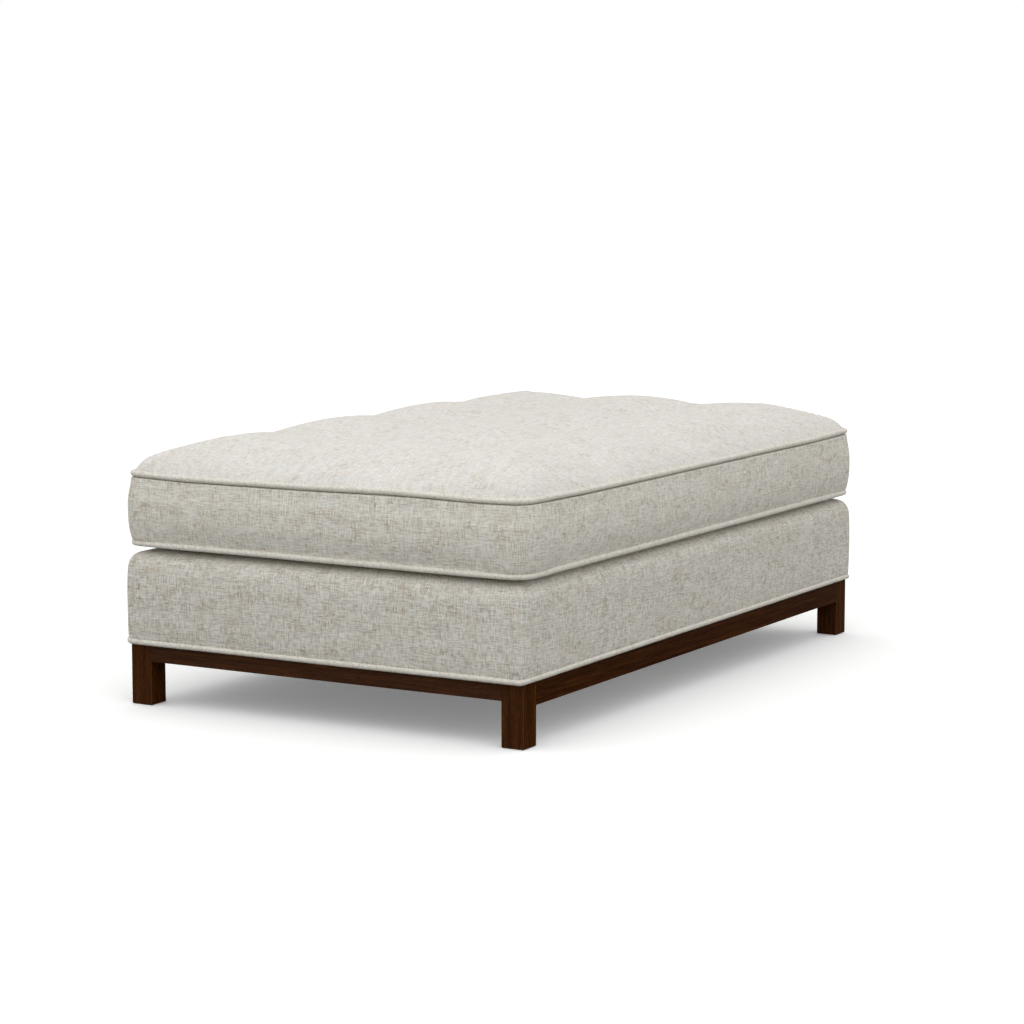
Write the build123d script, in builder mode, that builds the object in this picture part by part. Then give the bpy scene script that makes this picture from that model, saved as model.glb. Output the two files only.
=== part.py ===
from build123d import *

import os
from math import cos, pi, sin, sqrt

os.makedirs("parts", exist_ok=True)

# Ottoman coffee table, in millimetres. It stands on the floor at z = 0 and is centred on the origin.
# X is its length, Y its width, and the front is the long side towards -Y. An outset is a distance
# outwards from the vertical faces of the wooden base, and is negative inside them.

# Wooden base
BASE_LENGTH = 1376.0
BASE_WIDTH = 840.0
BASE_TOP = 114.5
LEG_SIDE = 45.0
EASED_EDGE = 1.2
RAIL_THICKNESS = 22.0
LONG_RAIL_DEPTH = 42.0
SHORT_RAIL_DEPTH = 31.5
TENON_THICKNESS = 10.0
TENON_LENGTH = 20.0
TENON_SHOULDER = 5.0
STRETCHER_WIDTH = 60.0
STRETCHER_DEPTH = 22.0
STRETCHER_TENON = 10.0
BLOCK_REACH = 140.0
BLOCK_DEPTH = 26.0

# Fasteners and glides, their round parts drawn with twelve sides
ROUND_SIDES = 12
GLIDE_RADIUS = 11.0
GLIDE_PROUD = 1.0
GLIDE_SUNK = 3.0
BOLT_RADIUS = 4.0
BOLT_LENGTH = 80.0
BOLT_HEAD_ACROSS = 13.0
BOLT_HEAD_HEIGHT = 5.3
BOLT_INSET = 68.0
TEE_FLANGE_RADIUS = 10.0
TEE_FLANGE_THICKNESS = 1.5
TEE_BARREL_RADIUS = 5.4
TEE_BARREL_LENGTH = 11.0
CLEARANCE = 0.2

# Upholstered box
FRAME_SETBACK = 8.0
FRAME_THICKNESS = 20.0
FRAME_BOTTOM = 116.0
FRAME_TOP = 256.0
FRAME_BLOCK_REACH = 128.0
FRAME_BLOCK_DEPTH = 40.0
CROSS_RAIL_SPACING = 452.0
CROSS_RAIL_DEPTH = 90.0
WEB_WIDTH = 50.0
WEB_THICKNESS = 1.5
WEB_COUNT_LENGTHWISE = 6
WEB_COUNT_CROSSWISE = 10
WEB_PITCH_LENGTHWISE = 110.0
WEB_PITCH_CROSSWISE = 120.0
BOX_OUTSET = 8.5
BOX_FOOT_OUTSET = -0.6
BOX_RIM_SETBACK = 5.0
BOX_TOP = 291.0
BOX_CORNER_CENTRE = 7.0
LEAST_RADIUS = 6.0
ROLL_RADIUS = 44.0
DECK_SETBACK = 62.0
HEM_SETBACK = 33.0
MITRE_REACH = 150.0
COVER_THICKNESS = 1.5
DUST_COVER_THICKNESS = 1.0

# Welts, one round the foot of the box and two round the cushion
WELT_RADIUS = 5.0
WELT_SIDES = 8
BOX_WELT_OUTSET = 4.6
BOX_WELT_HEIGHT = 120.0
CUSHION_WELT_OUTSET = 4.0

# Cushion
LOWER_SEAM = 302.5
UPPER_SEAM = 430.5
SEAM_OUTSET = -1.0
SEAM_LIP = 3.5
RIM_OUTSET = 8.6
RIM_RISE = 8.0
BAND_OUTSET = 14.8
CUSHION_CORNER_CENTRE = 31.0
FABRIC = 2.0
CUSHION_BOTTOM = 291.4
BOTTOM_SETBACK = 42.0
FOAM_GAP = 0.3
CROWN_OUTSET = -1.6
CROWN_HEIGHT = 69.0
CROWN_RISE_LENGTH = 126.0
TUFT_SPACING_X = 344.0
TUFT_SPACING_Y = 280.0
COLUMN_VALLEY = 12.0
ROW_VALLEY = 15.0
TUFT_DEPTH = 15.0
RISER_LENGTH = 30.0
TWINE_RADIUS = 1.2
DISC_RADIUS = 12.0
DISC_THICKNESS = 3.0

# Zip in the back of the cushion
ZIP_HEIGHT = 366.5
ZIP_PANEL_LENGTH = 1120.0
ZIP_GAP = 14.0
ZIP_HEM = 2.0
TAPE_OUTSET = 8.0
TAPE_HEIGHT = 30.0
TAPE_THICKNESS = 1.0
CHAIN_LENGTH = 1096.0
CHAIN_HEIGHT = 6.0
CHAIN_THICKNESS = 2.2
SLIDER_X = 530.0
SLIDER_LENGTH = 16.0
SLIDER_WALL = 2.0
SLIDER_TOP_OUTSET = 11.9
PULL_LENGTH = 26.0
PULL_WIDTH = 8.0
PULL_THICKNESS = 1.2
BAIL_WIDTH = 2.0
BAIL_SPAN = 9.0
BAIL_OUTSET = 14.3

# Worked out from the sizes above
HALF_LENGTH = BASE_LENGTH / 2
HALF_WIDTH = BASE_WIDTH / 2
SIDES = (-1, 1)
ON_FLOOR = (Align.CENTER, Align.CENTER, Align.MIN)
BLOCK_BOTTOM = BASE_TOP - BLOCK_DEPTH
FRAME_BLOCK_TOP = FRAME_BOTTOM + FRAME_BLOCK_DEPTH
STRETCHER_HEIGHT = BASE_TOP - STRETCHER_DEPTH / 2
ROLL_BOTTOM = FRAME_TOP + WEB_THICKNESS
DECK_BOTTOM = ROLL_BOTTOM + WEB_THICKNESS
PAD_TOP = BOX_TOP - COVER_THICKNESS


def save(builder, name):
    """Names a finished piece and writes it as its own file."""
    builder.part.label = name
    export_step(builder.part, f"parts/{name}.step")


def corner_points(inset_x, inset_y):
    """The four points that lie the given distances inside the base's faces."""
    return GridLocations(2 * (HALF_LENGTH - inset_x), 2 * (HALF_WIDTH - inset_y), 2, 2)


def corner_outlines(points):
    """An outline given by its distances in from the base's faces, drawn in all four corners."""
    for side_x in SIDES:
        for side_y in SIDES:
            corners = [(side_x * (HALF_LENGTH - u), side_y * (HALF_WIDTH - v)) for u, v in points]
            Polygon(*corners, align=None)


# Wooden base: legs with a mortise for each rail and a counterbore for the glide
for side_x, end in ((-1, "left"), (1, "right")):
    for side_y, side in ((-1, "front"), (1, "back")):
        leg_x = side_x * (HALF_LENGTH - LEG_SIDE / 2)
        leg_y = side_y * (HALF_WIDTH - LEG_SIDE / 2)
        long_mortise = (
            side_x * (HALF_LENGTH - LEG_SIDE + TENON_LENGTH / 2),
            side_y * (HALF_WIDTH - RAIL_THICKNESS / 2),
            BASE_TOP - LONG_RAIL_DEPTH / 2,
        )
        short_mortise = (
            side_x * (HALF_LENGTH - RAIL_THICKNESS / 2),
            side_y * (HALF_WIDTH - LEG_SIDE + TENON_LENGTH / 2),
            BASE_TOP - SHORT_RAIL_DEPTH / 2,
        )
        with BuildPart() as leg:
            with BuildSketch(Plane.XY.offset(GLIDE_PROUD)):
                with Locations((leg_x, leg_y)):
                    Rectangle(LEG_SIDE, LEG_SIDE)
            extrude(amount=BASE_TOP - GLIDE_PROUD)
            chamfer(leg.edges().filter_by(Axis.Z), EASED_EDGE)
            chamfer(leg.faces().sort_by(Axis.Z)[0].edges(), EASED_EDGE)
            with Locations(long_mortise):
                long_height = LONG_RAIL_DEPTH - 2 * TENON_SHOULDER
                Box(TENON_LENGTH, TENON_THICKNESS, long_height, mode=Mode.SUBTRACT)
            with Locations(short_mortise):
                short_height = SHORT_RAIL_DEPTH - 2 * TENON_SHOULDER
                Box(TENON_THICKNESS, TENON_LENGTH, short_height, mode=Mode.SUBTRACT)
            with BuildSketch(Plane.XY.offset(GLIDE_PROUD)):
                with Locations((leg_x, leg_y)):
                    RegularPolygon(GLIDE_RADIUS + CLEARANCE, ROUND_SIDES)
            extrude(amount=GLIDE_SUNK, mode=Mode.SUBTRACT)
        save(leg, f"leg_{side}_{end}")

# Glides, one let into the foot of each leg
with BuildPart() as leg_glides:
    with BuildSketch():
        with corner_points(LEG_SIDE / 2, LEG_SIDE / 2):
            RegularPolygon(GLIDE_RADIUS, ROUND_SIDES)
    extrude(amount=GLIDE_PROUD + GLIDE_SUNK)
    chamfer(leg_glides.edges().group_by(Axis.Z)[0], GLIDE_PROUD / 2)
save(leg_glides, "leg_glides")

# Long rails, flush with the legs outside, with a tenon at each end and a mortise for the stretcher
long_shoulders = BASE_LENGTH - 2 * LEG_SIDE
for side_y, side in ((-1, "front"), (1, "back")):
    with BuildPart() as rail:
        rail_y = side_y * (HALF_WIDTH - RAIL_THICKNESS / 2)
        with Locations((0, rail_y, BASE_TOP - LONG_RAIL_DEPTH / 2)):
            Box(long_shoulders, RAIL_THICKNESS, LONG_RAIL_DEPTH)
            chamfer(rail.edges().filter_by(Axis.X), EASED_EDGE)
            tenon_height = LONG_RAIL_DEPTH - 2 * TENON_SHOULDER
            Box(long_shoulders + 2 * TENON_LENGTH, TENON_THICKNESS, tenon_height)
        housing_y = side_y * (HALF_WIDTH - RAIL_THICKNESS + STRETCHER_TENON / 2)
        with Locations((0, housing_y, STRETCHER_HEIGHT)):
            housing_width = STRETCHER_WIDTH - 2 * TENON_SHOULDER
            housing_height = STRETCHER_DEPTH - 2 * TENON_SHOULDER
            Box(housing_width, STRETCHER_TENON, housing_height, mode=Mode.SUBTRACT)
    save(rail, f"base_rail_{side}")

# Short rails, shallower than the long ones
short_shoulders = BASE_WIDTH - 2 * LEG_SIDE
for side_x, end in ((-1, "left"), (1, "right")):
    with BuildPart() as rail:
        rail_x = side_x * (HALF_LENGTH - RAIL_THICKNESS / 2)
        with Locations((rail_x, 0, BASE_TOP - SHORT_RAIL_DEPTH / 2)):
            Box(RAIL_THICKNESS, short_shoulders, SHORT_RAIL_DEPTH)
            chamfer(rail.edges().filter_by(Axis.Y), EASED_EDGE)
            tenon_height = SHORT_RAIL_DEPTH - 2 * TENON_SHOULDER
            Box(TENON_THICKNESS, short_shoulders + 2 * TENON_LENGTH, tenon_height)
    save(rail, f"base_rail_{end}")

# Mid stretcher, stub-tenoned into the long rails
with BuildPart() as base_stretcher:
    stretcher_length = BASE_WIDTH - 2 * RAIL_THICKNESS
    with Locations((0, 0, STRETCHER_HEIGHT)):
        Box(STRETCHER_WIDTH, stretcher_length, STRETCHER_DEPTH)
        tenon_width = STRETCHER_WIDTH - 2 * TENON_SHOULDER
        tenon_height = STRETCHER_DEPTH - 2 * TENON_SHOULDER
        Box(tenon_width, stretcher_length + 2 * STRETCHER_TENON, tenon_height)
save(base_stretcher, "base_stretcher")

# Corner blocks of the base, notched round the legs
with BuildPart() as base_corner_blocks:
    with BuildSketch(Plane.XY.offset(BLOCK_BOTTOM)):
        corner_outlines(
            [
                (LEG_SIDE, RAIL_THICKNESS),
                (BLOCK_REACH, RAIL_THICKNESS),
                (RAIL_THICKNESS, BLOCK_REACH),
                (RAIL_THICKNESS, LEG_SIDE),
                (LEG_SIDE, LEG_SIDE),
            ]
        )
    extrude(amount=BLOCK_DEPTH)
    with BuildSketch(Plane.XY.offset(BLOCK_BOTTOM)):
        with corner_points(BOLT_INSET, BOLT_INSET):
            RegularPolygon(BOLT_RADIUS + 0.5, ROUND_SIDES)
    extrude(amount=BLOCK_DEPTH, mode=Mode.SUBTRACT)
save(base_corner_blocks, "base_corner_blocks")

# Bolts that hold the box on the base, and their tee nuts
with BuildPart() as box_bolts:
    with BuildSketch(Plane.XY.offset(BLOCK_BOTTOM)):
        with corner_points(BOLT_INSET, BOLT_INSET):
            RegularPolygon(BOLT_RADIUS, ROUND_SIDES)
    extrude(amount=BOLT_LENGTH)
    with BuildSketch(Plane.XY.offset(BLOCK_BOTTOM)):
        with corner_points(BOLT_INSET, BOLT_INSET):
            RegularPolygon(BOLT_HEAD_ACROSS / 2, 6, major_radius=False)
    extrude(amount=-BOLT_HEAD_HEIGHT)
save(box_bolts, "box_bolts")

with BuildPart() as tee_nuts:
    with BuildSketch(Plane.XY.offset(FRAME_BLOCK_TOP)):
        with corner_points(BOLT_INSET, BOLT_INSET):
            RegularPolygon(TEE_FLANGE_RADIUS, ROUND_SIDES)
            RegularPolygon(BOLT_RADIUS + CLEARANCE, ROUND_SIDES, mode=Mode.SUBTRACT)
    extrude(amount=TEE_FLANGE_THICKNESS)
    with BuildSketch(Plane.XY.offset(FRAME_BLOCK_TOP)):
        with corner_points(BOLT_INSET, BOLT_INSET):
            RegularPolygon(TEE_BARREL_RADIUS, ROUND_SIDES)
            RegularPolygon(BOLT_RADIUS + CLEARANCE, ROUND_SIDES, mode=Mode.SUBTRACT)
    extrude(amount=-TEE_BARREL_LENGTH)
save(tee_nuts, "tee_nuts")

# Box frame: two long rails, two short ones between them and two cross rails
frame_length = BASE_LENGTH - 2 * FRAME_SETBACK
frame_width = BASE_WIDTH - 2 * FRAME_SETBACK
frame_inner_width = frame_width - 2 * FRAME_THICKNESS
frame_depth = FRAME_TOP - FRAME_BOTTOM
for side_y, side in ((-1, "front"), (1, "back")):
    with BuildPart() as frame_rail:
        with Locations((0, side_y * (frame_width - FRAME_THICKNESS) / 2, FRAME_BOTTOM)):
            Box(frame_length, FRAME_THICKNESS, frame_depth, align=ON_FLOOR)
    save(frame_rail, f"frame_rail_{side}")

for side_x, end in ((-1, "left"), (1, "right")):
    with BuildPart() as frame_rail:
        with Locations((side_x * (frame_length - FRAME_THICKNESS) / 2, 0, FRAME_BOTTOM)):
            Box(FRAME_THICKNESS, frame_inner_width, frame_depth, align=ON_FLOOR)
    save(frame_rail, f"frame_rail_{end}")

    with BuildPart() as cross_rail:
        with Locations((side_x * CROSS_RAIL_SPACING / 2, 0, FRAME_BOTTOM)):
            Box(FRAME_THICKNESS, frame_inner_width, CROSS_RAIL_DEPTH, align=ON_FLOOR)
    save(cross_rail, f"frame_cross_rail_{end}")

# Corner blocks of the box frame, bored for the tee nuts
with BuildPart() as frame_corner_blocks:
    frame_inner = FRAME_SETBACK + FRAME_THICKNESS
    with BuildSketch(Plane.XY.offset(FRAME_BOTTOM)):
        corner_outlines(
            [
                (frame_inner, frame_inner),
                (FRAME_BLOCK_REACH, frame_inner),
                (frame_inner, FRAME_BLOCK_REACH),
            ]
        )
    extrude(amount=FRAME_BLOCK_DEPTH)
    with BuildSketch(Plane.XY.offset(FRAME_BOTTOM)):
        with corner_points(BOLT_INSET, BOLT_INSET):
            RegularPolygon(BOLT_RADIUS + 0.5, ROUND_SIDES)
    extrude(amount=FRAME_BLOCK_DEPTH, mode=Mode.SUBTRACT)
    with BuildSketch(Plane.XY.offset(FRAME_BLOCK_TOP)):
        with corner_points(BOLT_INSET, BOLT_INSET):
            RegularPolygon(TEE_BARREL_RADIUS + CLEARANCE, ROUND_SIDES)
    extrude(amount=-TEE_BARREL_LENGTH - 1, mode=Mode.SUBTRACT)
save(frame_corner_blocks, "frame_corner_blocks")


def strip_path(length, pitch, crossings, first_is_upper):
    """Underside of a web strip that passes over and under the strips that cross it."""
    flat = WEB_WIDTH / 2 + WEB_THICKNESS
    points = [(-length / 2, FRAME_TOP)]
    for i in range(crossings):
        middle = (i - (crossings - 1) / 2) * pitch
        upper = (i % 2 == 0) == first_is_upper
        height = FRAME_TOP + (WEB_THICKNESS if upper else 0)
        points += [(middle - flat, height), (middle + flat, height)]
    tail = points[-1][0] + WEB_WIDTH / 2
    points += [(tail, FRAME_TOP), (length / 2, FRAME_TOP)]
    return [(-length / 2, FRAME_TOP), (-tail, FRAME_TOP)] + points[1:]


def strip_outline(path):
    """Closed outline of a strip of web from the path of its underside."""
    Polygon(*path, *[(x, z + WEB_THICKNESS) for x, z in reversed(path)], align=None)


# Webbing, interlaced over the box frame: lengthwise strips, then crosswise ones
with BuildPart() as webbing_lengthwise:
    for i in range(WEB_COUNT_LENGTHWISE):
        strip_y = (i - (WEB_COUNT_LENGTHWISE - 1) / 2) * WEB_PITCH_LENGTHWISE
        path = strip_path(frame_length, WEB_PITCH_CROSSWISE, WEB_COUNT_CROSSWISE, i % 2 == 0)
        with BuildSketch(Plane.XZ.offset(-strip_y)):
            strip_outline(path)
        extrude(amount=WEB_WIDTH / 2, both=True)
save(webbing_lengthwise, "webbing_lengthwise")

with BuildPart() as webbing_crosswise:
    for i in range(WEB_COUNT_CROSSWISE):
        strip_x = (i - (WEB_COUNT_CROSSWISE - 1) / 2) * WEB_PITCH_CROSSWISE
        path = strip_path(frame_width, WEB_PITCH_LENGTHWISE, WEB_COUNT_LENGTHWISE, i % 2 == 1)
        with BuildSketch(Plane.YZ.offset(strip_x)):
            strip_outline(path)
        extrude(amount=WEB_WIDTH / 2, both=True)
save(webbing_crosswise, "webbing_crosswise")


def plan_outline(corner_centre):
    """The base's plan with corners whose centres lie that far inside its faces."""
    with BuildSketch() as plan:
        RectangleRounded(BASE_LENGTH, BASE_WIDTH, corner_centre)
    return plan.sketch.face().outer_wire()


def profile_plane(outline):
    """Plane across an outline where it starts: outset along its x and height along its y."""
    start = outline @ 0
    along = outline % 0
    outwards = along.cross(Vector(0, 0, 1))
    if outwards.dot(Vector(start.X, start.Y, 0)) < 0:
        outwards = -outwards
    return Plane(origin=start, x_dir=outwards, z_dir=outwards.cross(Vector(0, 0, 1)))


box_outline = plan_outline(BOX_CORNER_CENTRE)
cushion_outline = plan_outline(CUSHION_CORNER_CENTRE)


def layered(levels, corner_centre):
    """A solid through plans at several heights and outsets, each corner cut in three straight lines."""
    with BuildPart() as solid:
        for height, outset in levels:
            radius = max(corner_centre + outset, LEAST_RADIUS)
            points = []
            for i in range(16):
                angle = pi / 6 * (i % 4) + pi / 2 * (i // 4)
                side_x = 1 if i < 4 or i >= 12 else -1
                side_y = 1 if i < 8 else -1
                x = side_x * (HALF_LENGTH + outset - radius) + radius * cos(angle)
                y = side_y * (HALF_WIDTH + outset - radius) + radius * sin(angle)
                points.append((x, y))
            with BuildSketch(Plane.XY.offset(height)):
                Polygon(*points, align=None)
        loft(ruled=True)
    return solid.part


def roll_height(outset, inset=0.0):
    """Height of the rolled top edge's surface at an outset, or of a surface so far inside it."""
    centre = BOX_OUTSET - ROLL_RADIUS
    radius = ROLL_RADIUS - inset
    return BOX_TOP - ROLL_RADIUS + sqrt(radius**2 - (outset - centre) ** 2)


def box_top_profile(half):
    """Half outline across the box inside its rim, with the inner part of the rolled edge."""
    rim = (half - BOX_RIM_SETBACK, roll_height(-BOX_RIM_SETBACK))
    flat_outset = BOX_OUTSET - ROLL_RADIUS
    mid_outset = (flat_outset - BOX_RIM_SETBACK) / 2
    flat = (half + flat_outset, BOX_TOP)
    Polyline((0, BASE_TOP), (rim[0], BASE_TOP), rim)
    ThreePointArc(rim, (half + mid_outset, roll_height(mid_outset)), flat)
    Line(flat, (0, BOX_TOP))


welt_top = BOX_WELT_HEIGHT + WELT_RADIUS
shoulder_height = BOX_TOP - ROLL_RADIUS
roll_mid = BOX_OUTSET - 4

# The upholstered box: two profiles crossed for its top, and its rim swept round them
with BuildPart() as box_outside:
    with BuildSketch(Plane.XZ):
        with BuildLine():
            box_top_profile(HALF_LENGTH)
            mirror(about=Plane.YZ)
        make_face()
    extrude(amount=BASE_WIDTH, both=True)
    with BuildSketch(Plane.YZ):
        with BuildLine():
            box_top_profile(HALF_WIDTH)
            mirror(about=Plane.YZ)
        make_face()
    extrude(amount=BASE_LENGTH, both=True, mode=Mode.INTERSECT)
    with BuildSketch(profile_plane(box_outline)):
        with BuildLine():
            rim = (-BOX_RIM_SETBACK, roll_height(-BOX_RIM_SETBACK))
            draw_in = (BOX_FOOT_OUTSET, welt_top - 3)
            full = (BOX_OUTSET, welt_top + 9)
            shoulder = (BOX_OUTSET, shoulder_height)
            Polyline(rim, (-BOX_RIM_SETBACK, BASE_TOP), (BOX_FOOT_OUTSET, BASE_TOP), draw_in)
            ThreePointArc(draw_in, (BOX_FOOT_OUTSET + 2.5, welt_top + 1.2), full)
            Line(full, shoulder)
            ThreePointArc(shoulder, (roll_mid, roll_height(roll_mid)), rim)
        make_face()
    sweep(path=box_outline)

# The space inside the cover, from the hem up to the deck
inside_levels = [
    (BASE_TOP + COVER_THICKNESS, BOX_FOOT_OUTSET - COVER_THICKNESS),
    (welt_top, BOX_FOOT_OUTSET - COVER_THICKNESS),
    (welt_top + 10, BOX_OUTSET - COVER_THICKNESS),
    (shoulder_height, BOX_OUTSET - COVER_THICKNESS),
]
for outset in (roll_mid - COVER_THICKNESS, -BOX_RIM_SETBACK, -BOX_RIM_SETBACK - 10):
    inside_levels.append((roll_height(outset, COVER_THICKNESS), outset))
inside_levels.append((PAD_TOP, BOX_OUTSET - ROLL_RADIUS))
box_inside = layered(inside_levels, BOX_CORNER_CENTRE)

# Cover of the box: up from the hem under the frame, over the rolled edge to the deck cloth
with BuildPart() as box_cover:
    add(box_outside.part)
    add(box_inside, mode=Mode.SUBTRACT)
    with Locations((0, 0, BASE_TOP)):
        hem_length = BASE_LENGTH - 2 * HEM_SETBACK
        hem_width = BASE_WIDTH - 2 * HEM_SETBACK
        Box(hem_length, hem_width, frame_depth, align=ON_FLOOR, mode=Mode.SUBTRACT)
    with Locations((0, 0, ROLL_BOTTOM)):
        deck_length = BASE_LENGTH - 2 * DECK_SETBACK
        deck_width = BASE_WIDTH - 2 * DECK_SETBACK
        Box(deck_length, deck_width, BOX_TOP - ROLL_BOTTOM, align=ON_FLOOR, mode=Mode.SUBTRACT)
save(box_cover, "box_cover")

# Foam between frame and cover, mitred into four lengths: the side pads, then the rolled edge above
outer_x = HALF_LENGTH + MITRE_REACH
outer_y = HALF_WIDTH + MITRE_REACH
inner_x = HALF_LENGTH - MITRE_REACH
inner_y = HALF_WIDTH - MITRE_REACH
mitred_lengths = {
    "front": [(-outer_x, -outer_y), (outer_x, -outer_y), (inner_x, -inner_y), (-inner_x, -inner_y)],
    "back": [(-outer_x, outer_y), (outer_x, outer_y), (inner_x, inner_y), (-inner_x, inner_y)],
    "left": [(-outer_x, -outer_y), (-outer_x, outer_y), (-inner_x, inner_y), (-inner_x, -inner_y)],
    "right": [(outer_x, -outer_y), (outer_x, outer_y), (inner_x, inner_y), (inner_x, -inner_y)],
}
for side, corners in mitred_lengths.items():
    with BuildPart() as side_pad:
        with BuildSketch(Plane.XY.offset(FRAME_BOTTOM)):
            Polygon(*corners, align=None)
        extrude(amount=ROLL_BOTTOM - FRAME_BOTTOM)
        add(box_inside, mode=Mode.INTERSECT)
        with Locations((0, 0, FRAME_BOTTOM)):
            Box(frame_length, frame_width, BOX_TOP, align=ON_FLOOR, mode=Mode.SUBTRACT)
    save(side_pad, f"side_pad_{side}")

    with BuildPart() as edge_roll:
        with BuildSketch(Plane.XY.offset(ROLL_BOTTOM)):
            Polygon(*corners, align=None)
        extrude(amount=PAD_TOP - ROLL_BOTTOM)
        add(box_inside, mode=Mode.INTERSECT)
        with Locations((0, 0, ROLL_BOTTOM)):
            Box(deck_length, deck_width, BOX_TOP, align=ON_FLOOR, mode=Mode.SUBTRACT)
    save(edge_roll, f"edge_roll_{side}")

# Deck pad on the webbing and the deck cloth over it
with BuildPart() as deck_pad:
    with Locations((0, 0, DECK_BOTTOM)):
        Box(deck_length, deck_width, PAD_TOP - DECK_BOTTOM, align=ON_FLOOR)
save(deck_pad, "deck_pad")

with BuildPart() as deck_cloth:
    with Locations((0, 0, PAD_TOP)):
        Box(deck_length, deck_width, COVER_THICKNESS, align=ON_FLOOR)
save(deck_cloth, "deck_cloth")

# Dust cover under the box frame, inside the hem
with BuildPart() as dust_cover:
    with BuildSketch(Plane.XY.offset(FRAME_BOTTOM - DUST_COVER_THICKNESS)):
        Rectangle(hem_length, hem_width)
        with corner_points(BOLT_INSET, BOLT_INSET):
            RegularPolygon(BOLT_RADIUS + 0.5, ROUND_SIDES, mode=Mode.SUBTRACT)
    extrude(amount=DUST_COVER_THICKNESS)
save(dust_cover, "dust_cover")

# Welts: fabric-covered cord round the foot of the box and along both seams of the cushion
with BuildPart() as box_welt:
    with BuildSketch(profile_plane(box_outline)):
        with Locations((BOX_WELT_OUTSET, BOX_WELT_HEIGHT)):
            RegularPolygon(WELT_RADIUS, WELT_SIDES)
    sweep(path=box_outline)
save(box_welt, "box_welt")

for height, name in ((LOWER_SEAM, "cushion_welt_lower"), (UPPER_SEAM, "cushion_welt_upper")):
    with BuildPart() as cushion_welt:
        with BuildSketch(profile_plane(cushion_outline)):
            with Locations((CUSHION_WELT_OUTSET, height)):
                RegularPolygon(WELT_RADIUS, WELT_SIDES)
        sweep(path=cushion_outline)
    save(cushion_welt, name)


def band_points(inset):
    """The cushion's side from its lower to its upper seam: drawn in at both and full between."""
    seam = SEAM_OUTSET - inset
    rim = RIM_OUTSET - inset
    return [
        (seam, LOWER_SEAM),
        (seam, LOWER_SEAM + SEAM_LIP),
        (rim, LOWER_SEAM + RIM_RISE),
        (BAND_OUTSET - inset, (LOWER_SEAM + UPPER_SEAM) / 2),
        (rim, UPPER_SEAM - RIM_RISE),
        (seam, UPPER_SEAM - SEAM_LIP),
        (seam, UPPER_SEAM),
    ]


# The whole band round the cushion, before it is parted at the zip
with BuildPart() as band:
    with BuildSketch(profile_plane(cushion_outline)):
        with BuildLine():
            outer = band_points(0)
            Polyline(*outer[:3])
            ThreePointArc(*outer[2:5])
            inner = SEAM_OUTSET - FABRIC - 2
            Polyline(*outer[4:], (inner, UPPER_SEAM), (inner, LOWER_SEAM), outer[0])
        make_face()
    sweep(path=cushion_outline)
    inside = [(height, outset) for outset, height in band_points(FABRIC)]
    add(layered(inside, CUSHION_CORNER_CENTRE), mode=Mode.SUBTRACT)

with BuildPart() as boxing_strip:
    add(band.part)
    with Locations((0, HALF_WIDTH, LOWER_SEAM)):
        Box(ZIP_PANEL_LENGTH, 4 * BAND_OUTSET, CROWN_HEIGHT * 2, align=ON_FLOOR, mode=Mode.SUBTRACT)
save(boxing_strip, "boxing_strip")

# Zipped half strips at the back, their hems turned in to the tape
half_strips = {
    "zip_boxing_lower": (LOWER_SEAM, ZIP_HEIGHT - ZIP_GAP / 2, -1),
    "zip_boxing_upper": (ZIP_HEIGHT + ZIP_GAP / 2, UPPER_SEAM, 1),
}
for name, (low, high, side) in half_strips.items():
    with BuildPart() as half_strip:
        add(band.part)
        with Locations((0, HALF_WIDTH, low)):
            Box(ZIP_PANEL_LENGTH, 4 * BAND_OUTSET, high - low, align=ON_FLOOR, mode=Mode.INTERSECT)
        hem_reach = BAND_OUTSET - FABRIC / 2 - TAPE_OUTSET
        hem_y = HALF_WIDTH + TAPE_OUTSET + hem_reach / 2
        with Locations((0, hem_y, ZIP_HEIGHT + side * (ZIP_GAP + ZIP_HEM) / 2)):
            Box(ZIP_PANEL_LENGTH, hem_reach, ZIP_HEM)
    save(half_strip, name)


# Bottom panel, which swells down from its seam to lie flat on the deck
with BuildPart() as cushion_bottom_panel:
    swell = (LOWER_SEAM - 5.5, -12)
    outside = [(CUSHION_BOTTOM, -BOTTOM_SETBACK), swell, (LOWER_SEAM, SEAM_OUTSET)]
    add(layered(outside, CUSHION_CORNER_CENTRE))
    lining = CUSHION_BOTTOM + COVER_THICKNESS
    inside = [
        (lining, -BOTTOM_SETBACK - COVER_THICKNESS),
        (LOWER_SEAM, SEAM_OUTSET - COVER_THICKNESS),
    ]
    add(layered(inside, CUSHION_CORNER_CENTRE), mode=Mode.SUBTRACT)
save(cushion_bottom_panel, "cushion_bottom_panel")

tuft_points = GridLocations(TUFT_SPACING_X, TUFT_SPACING_Y, 3, 2)
core_inset = FABRIC + FOAM_GAP

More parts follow.
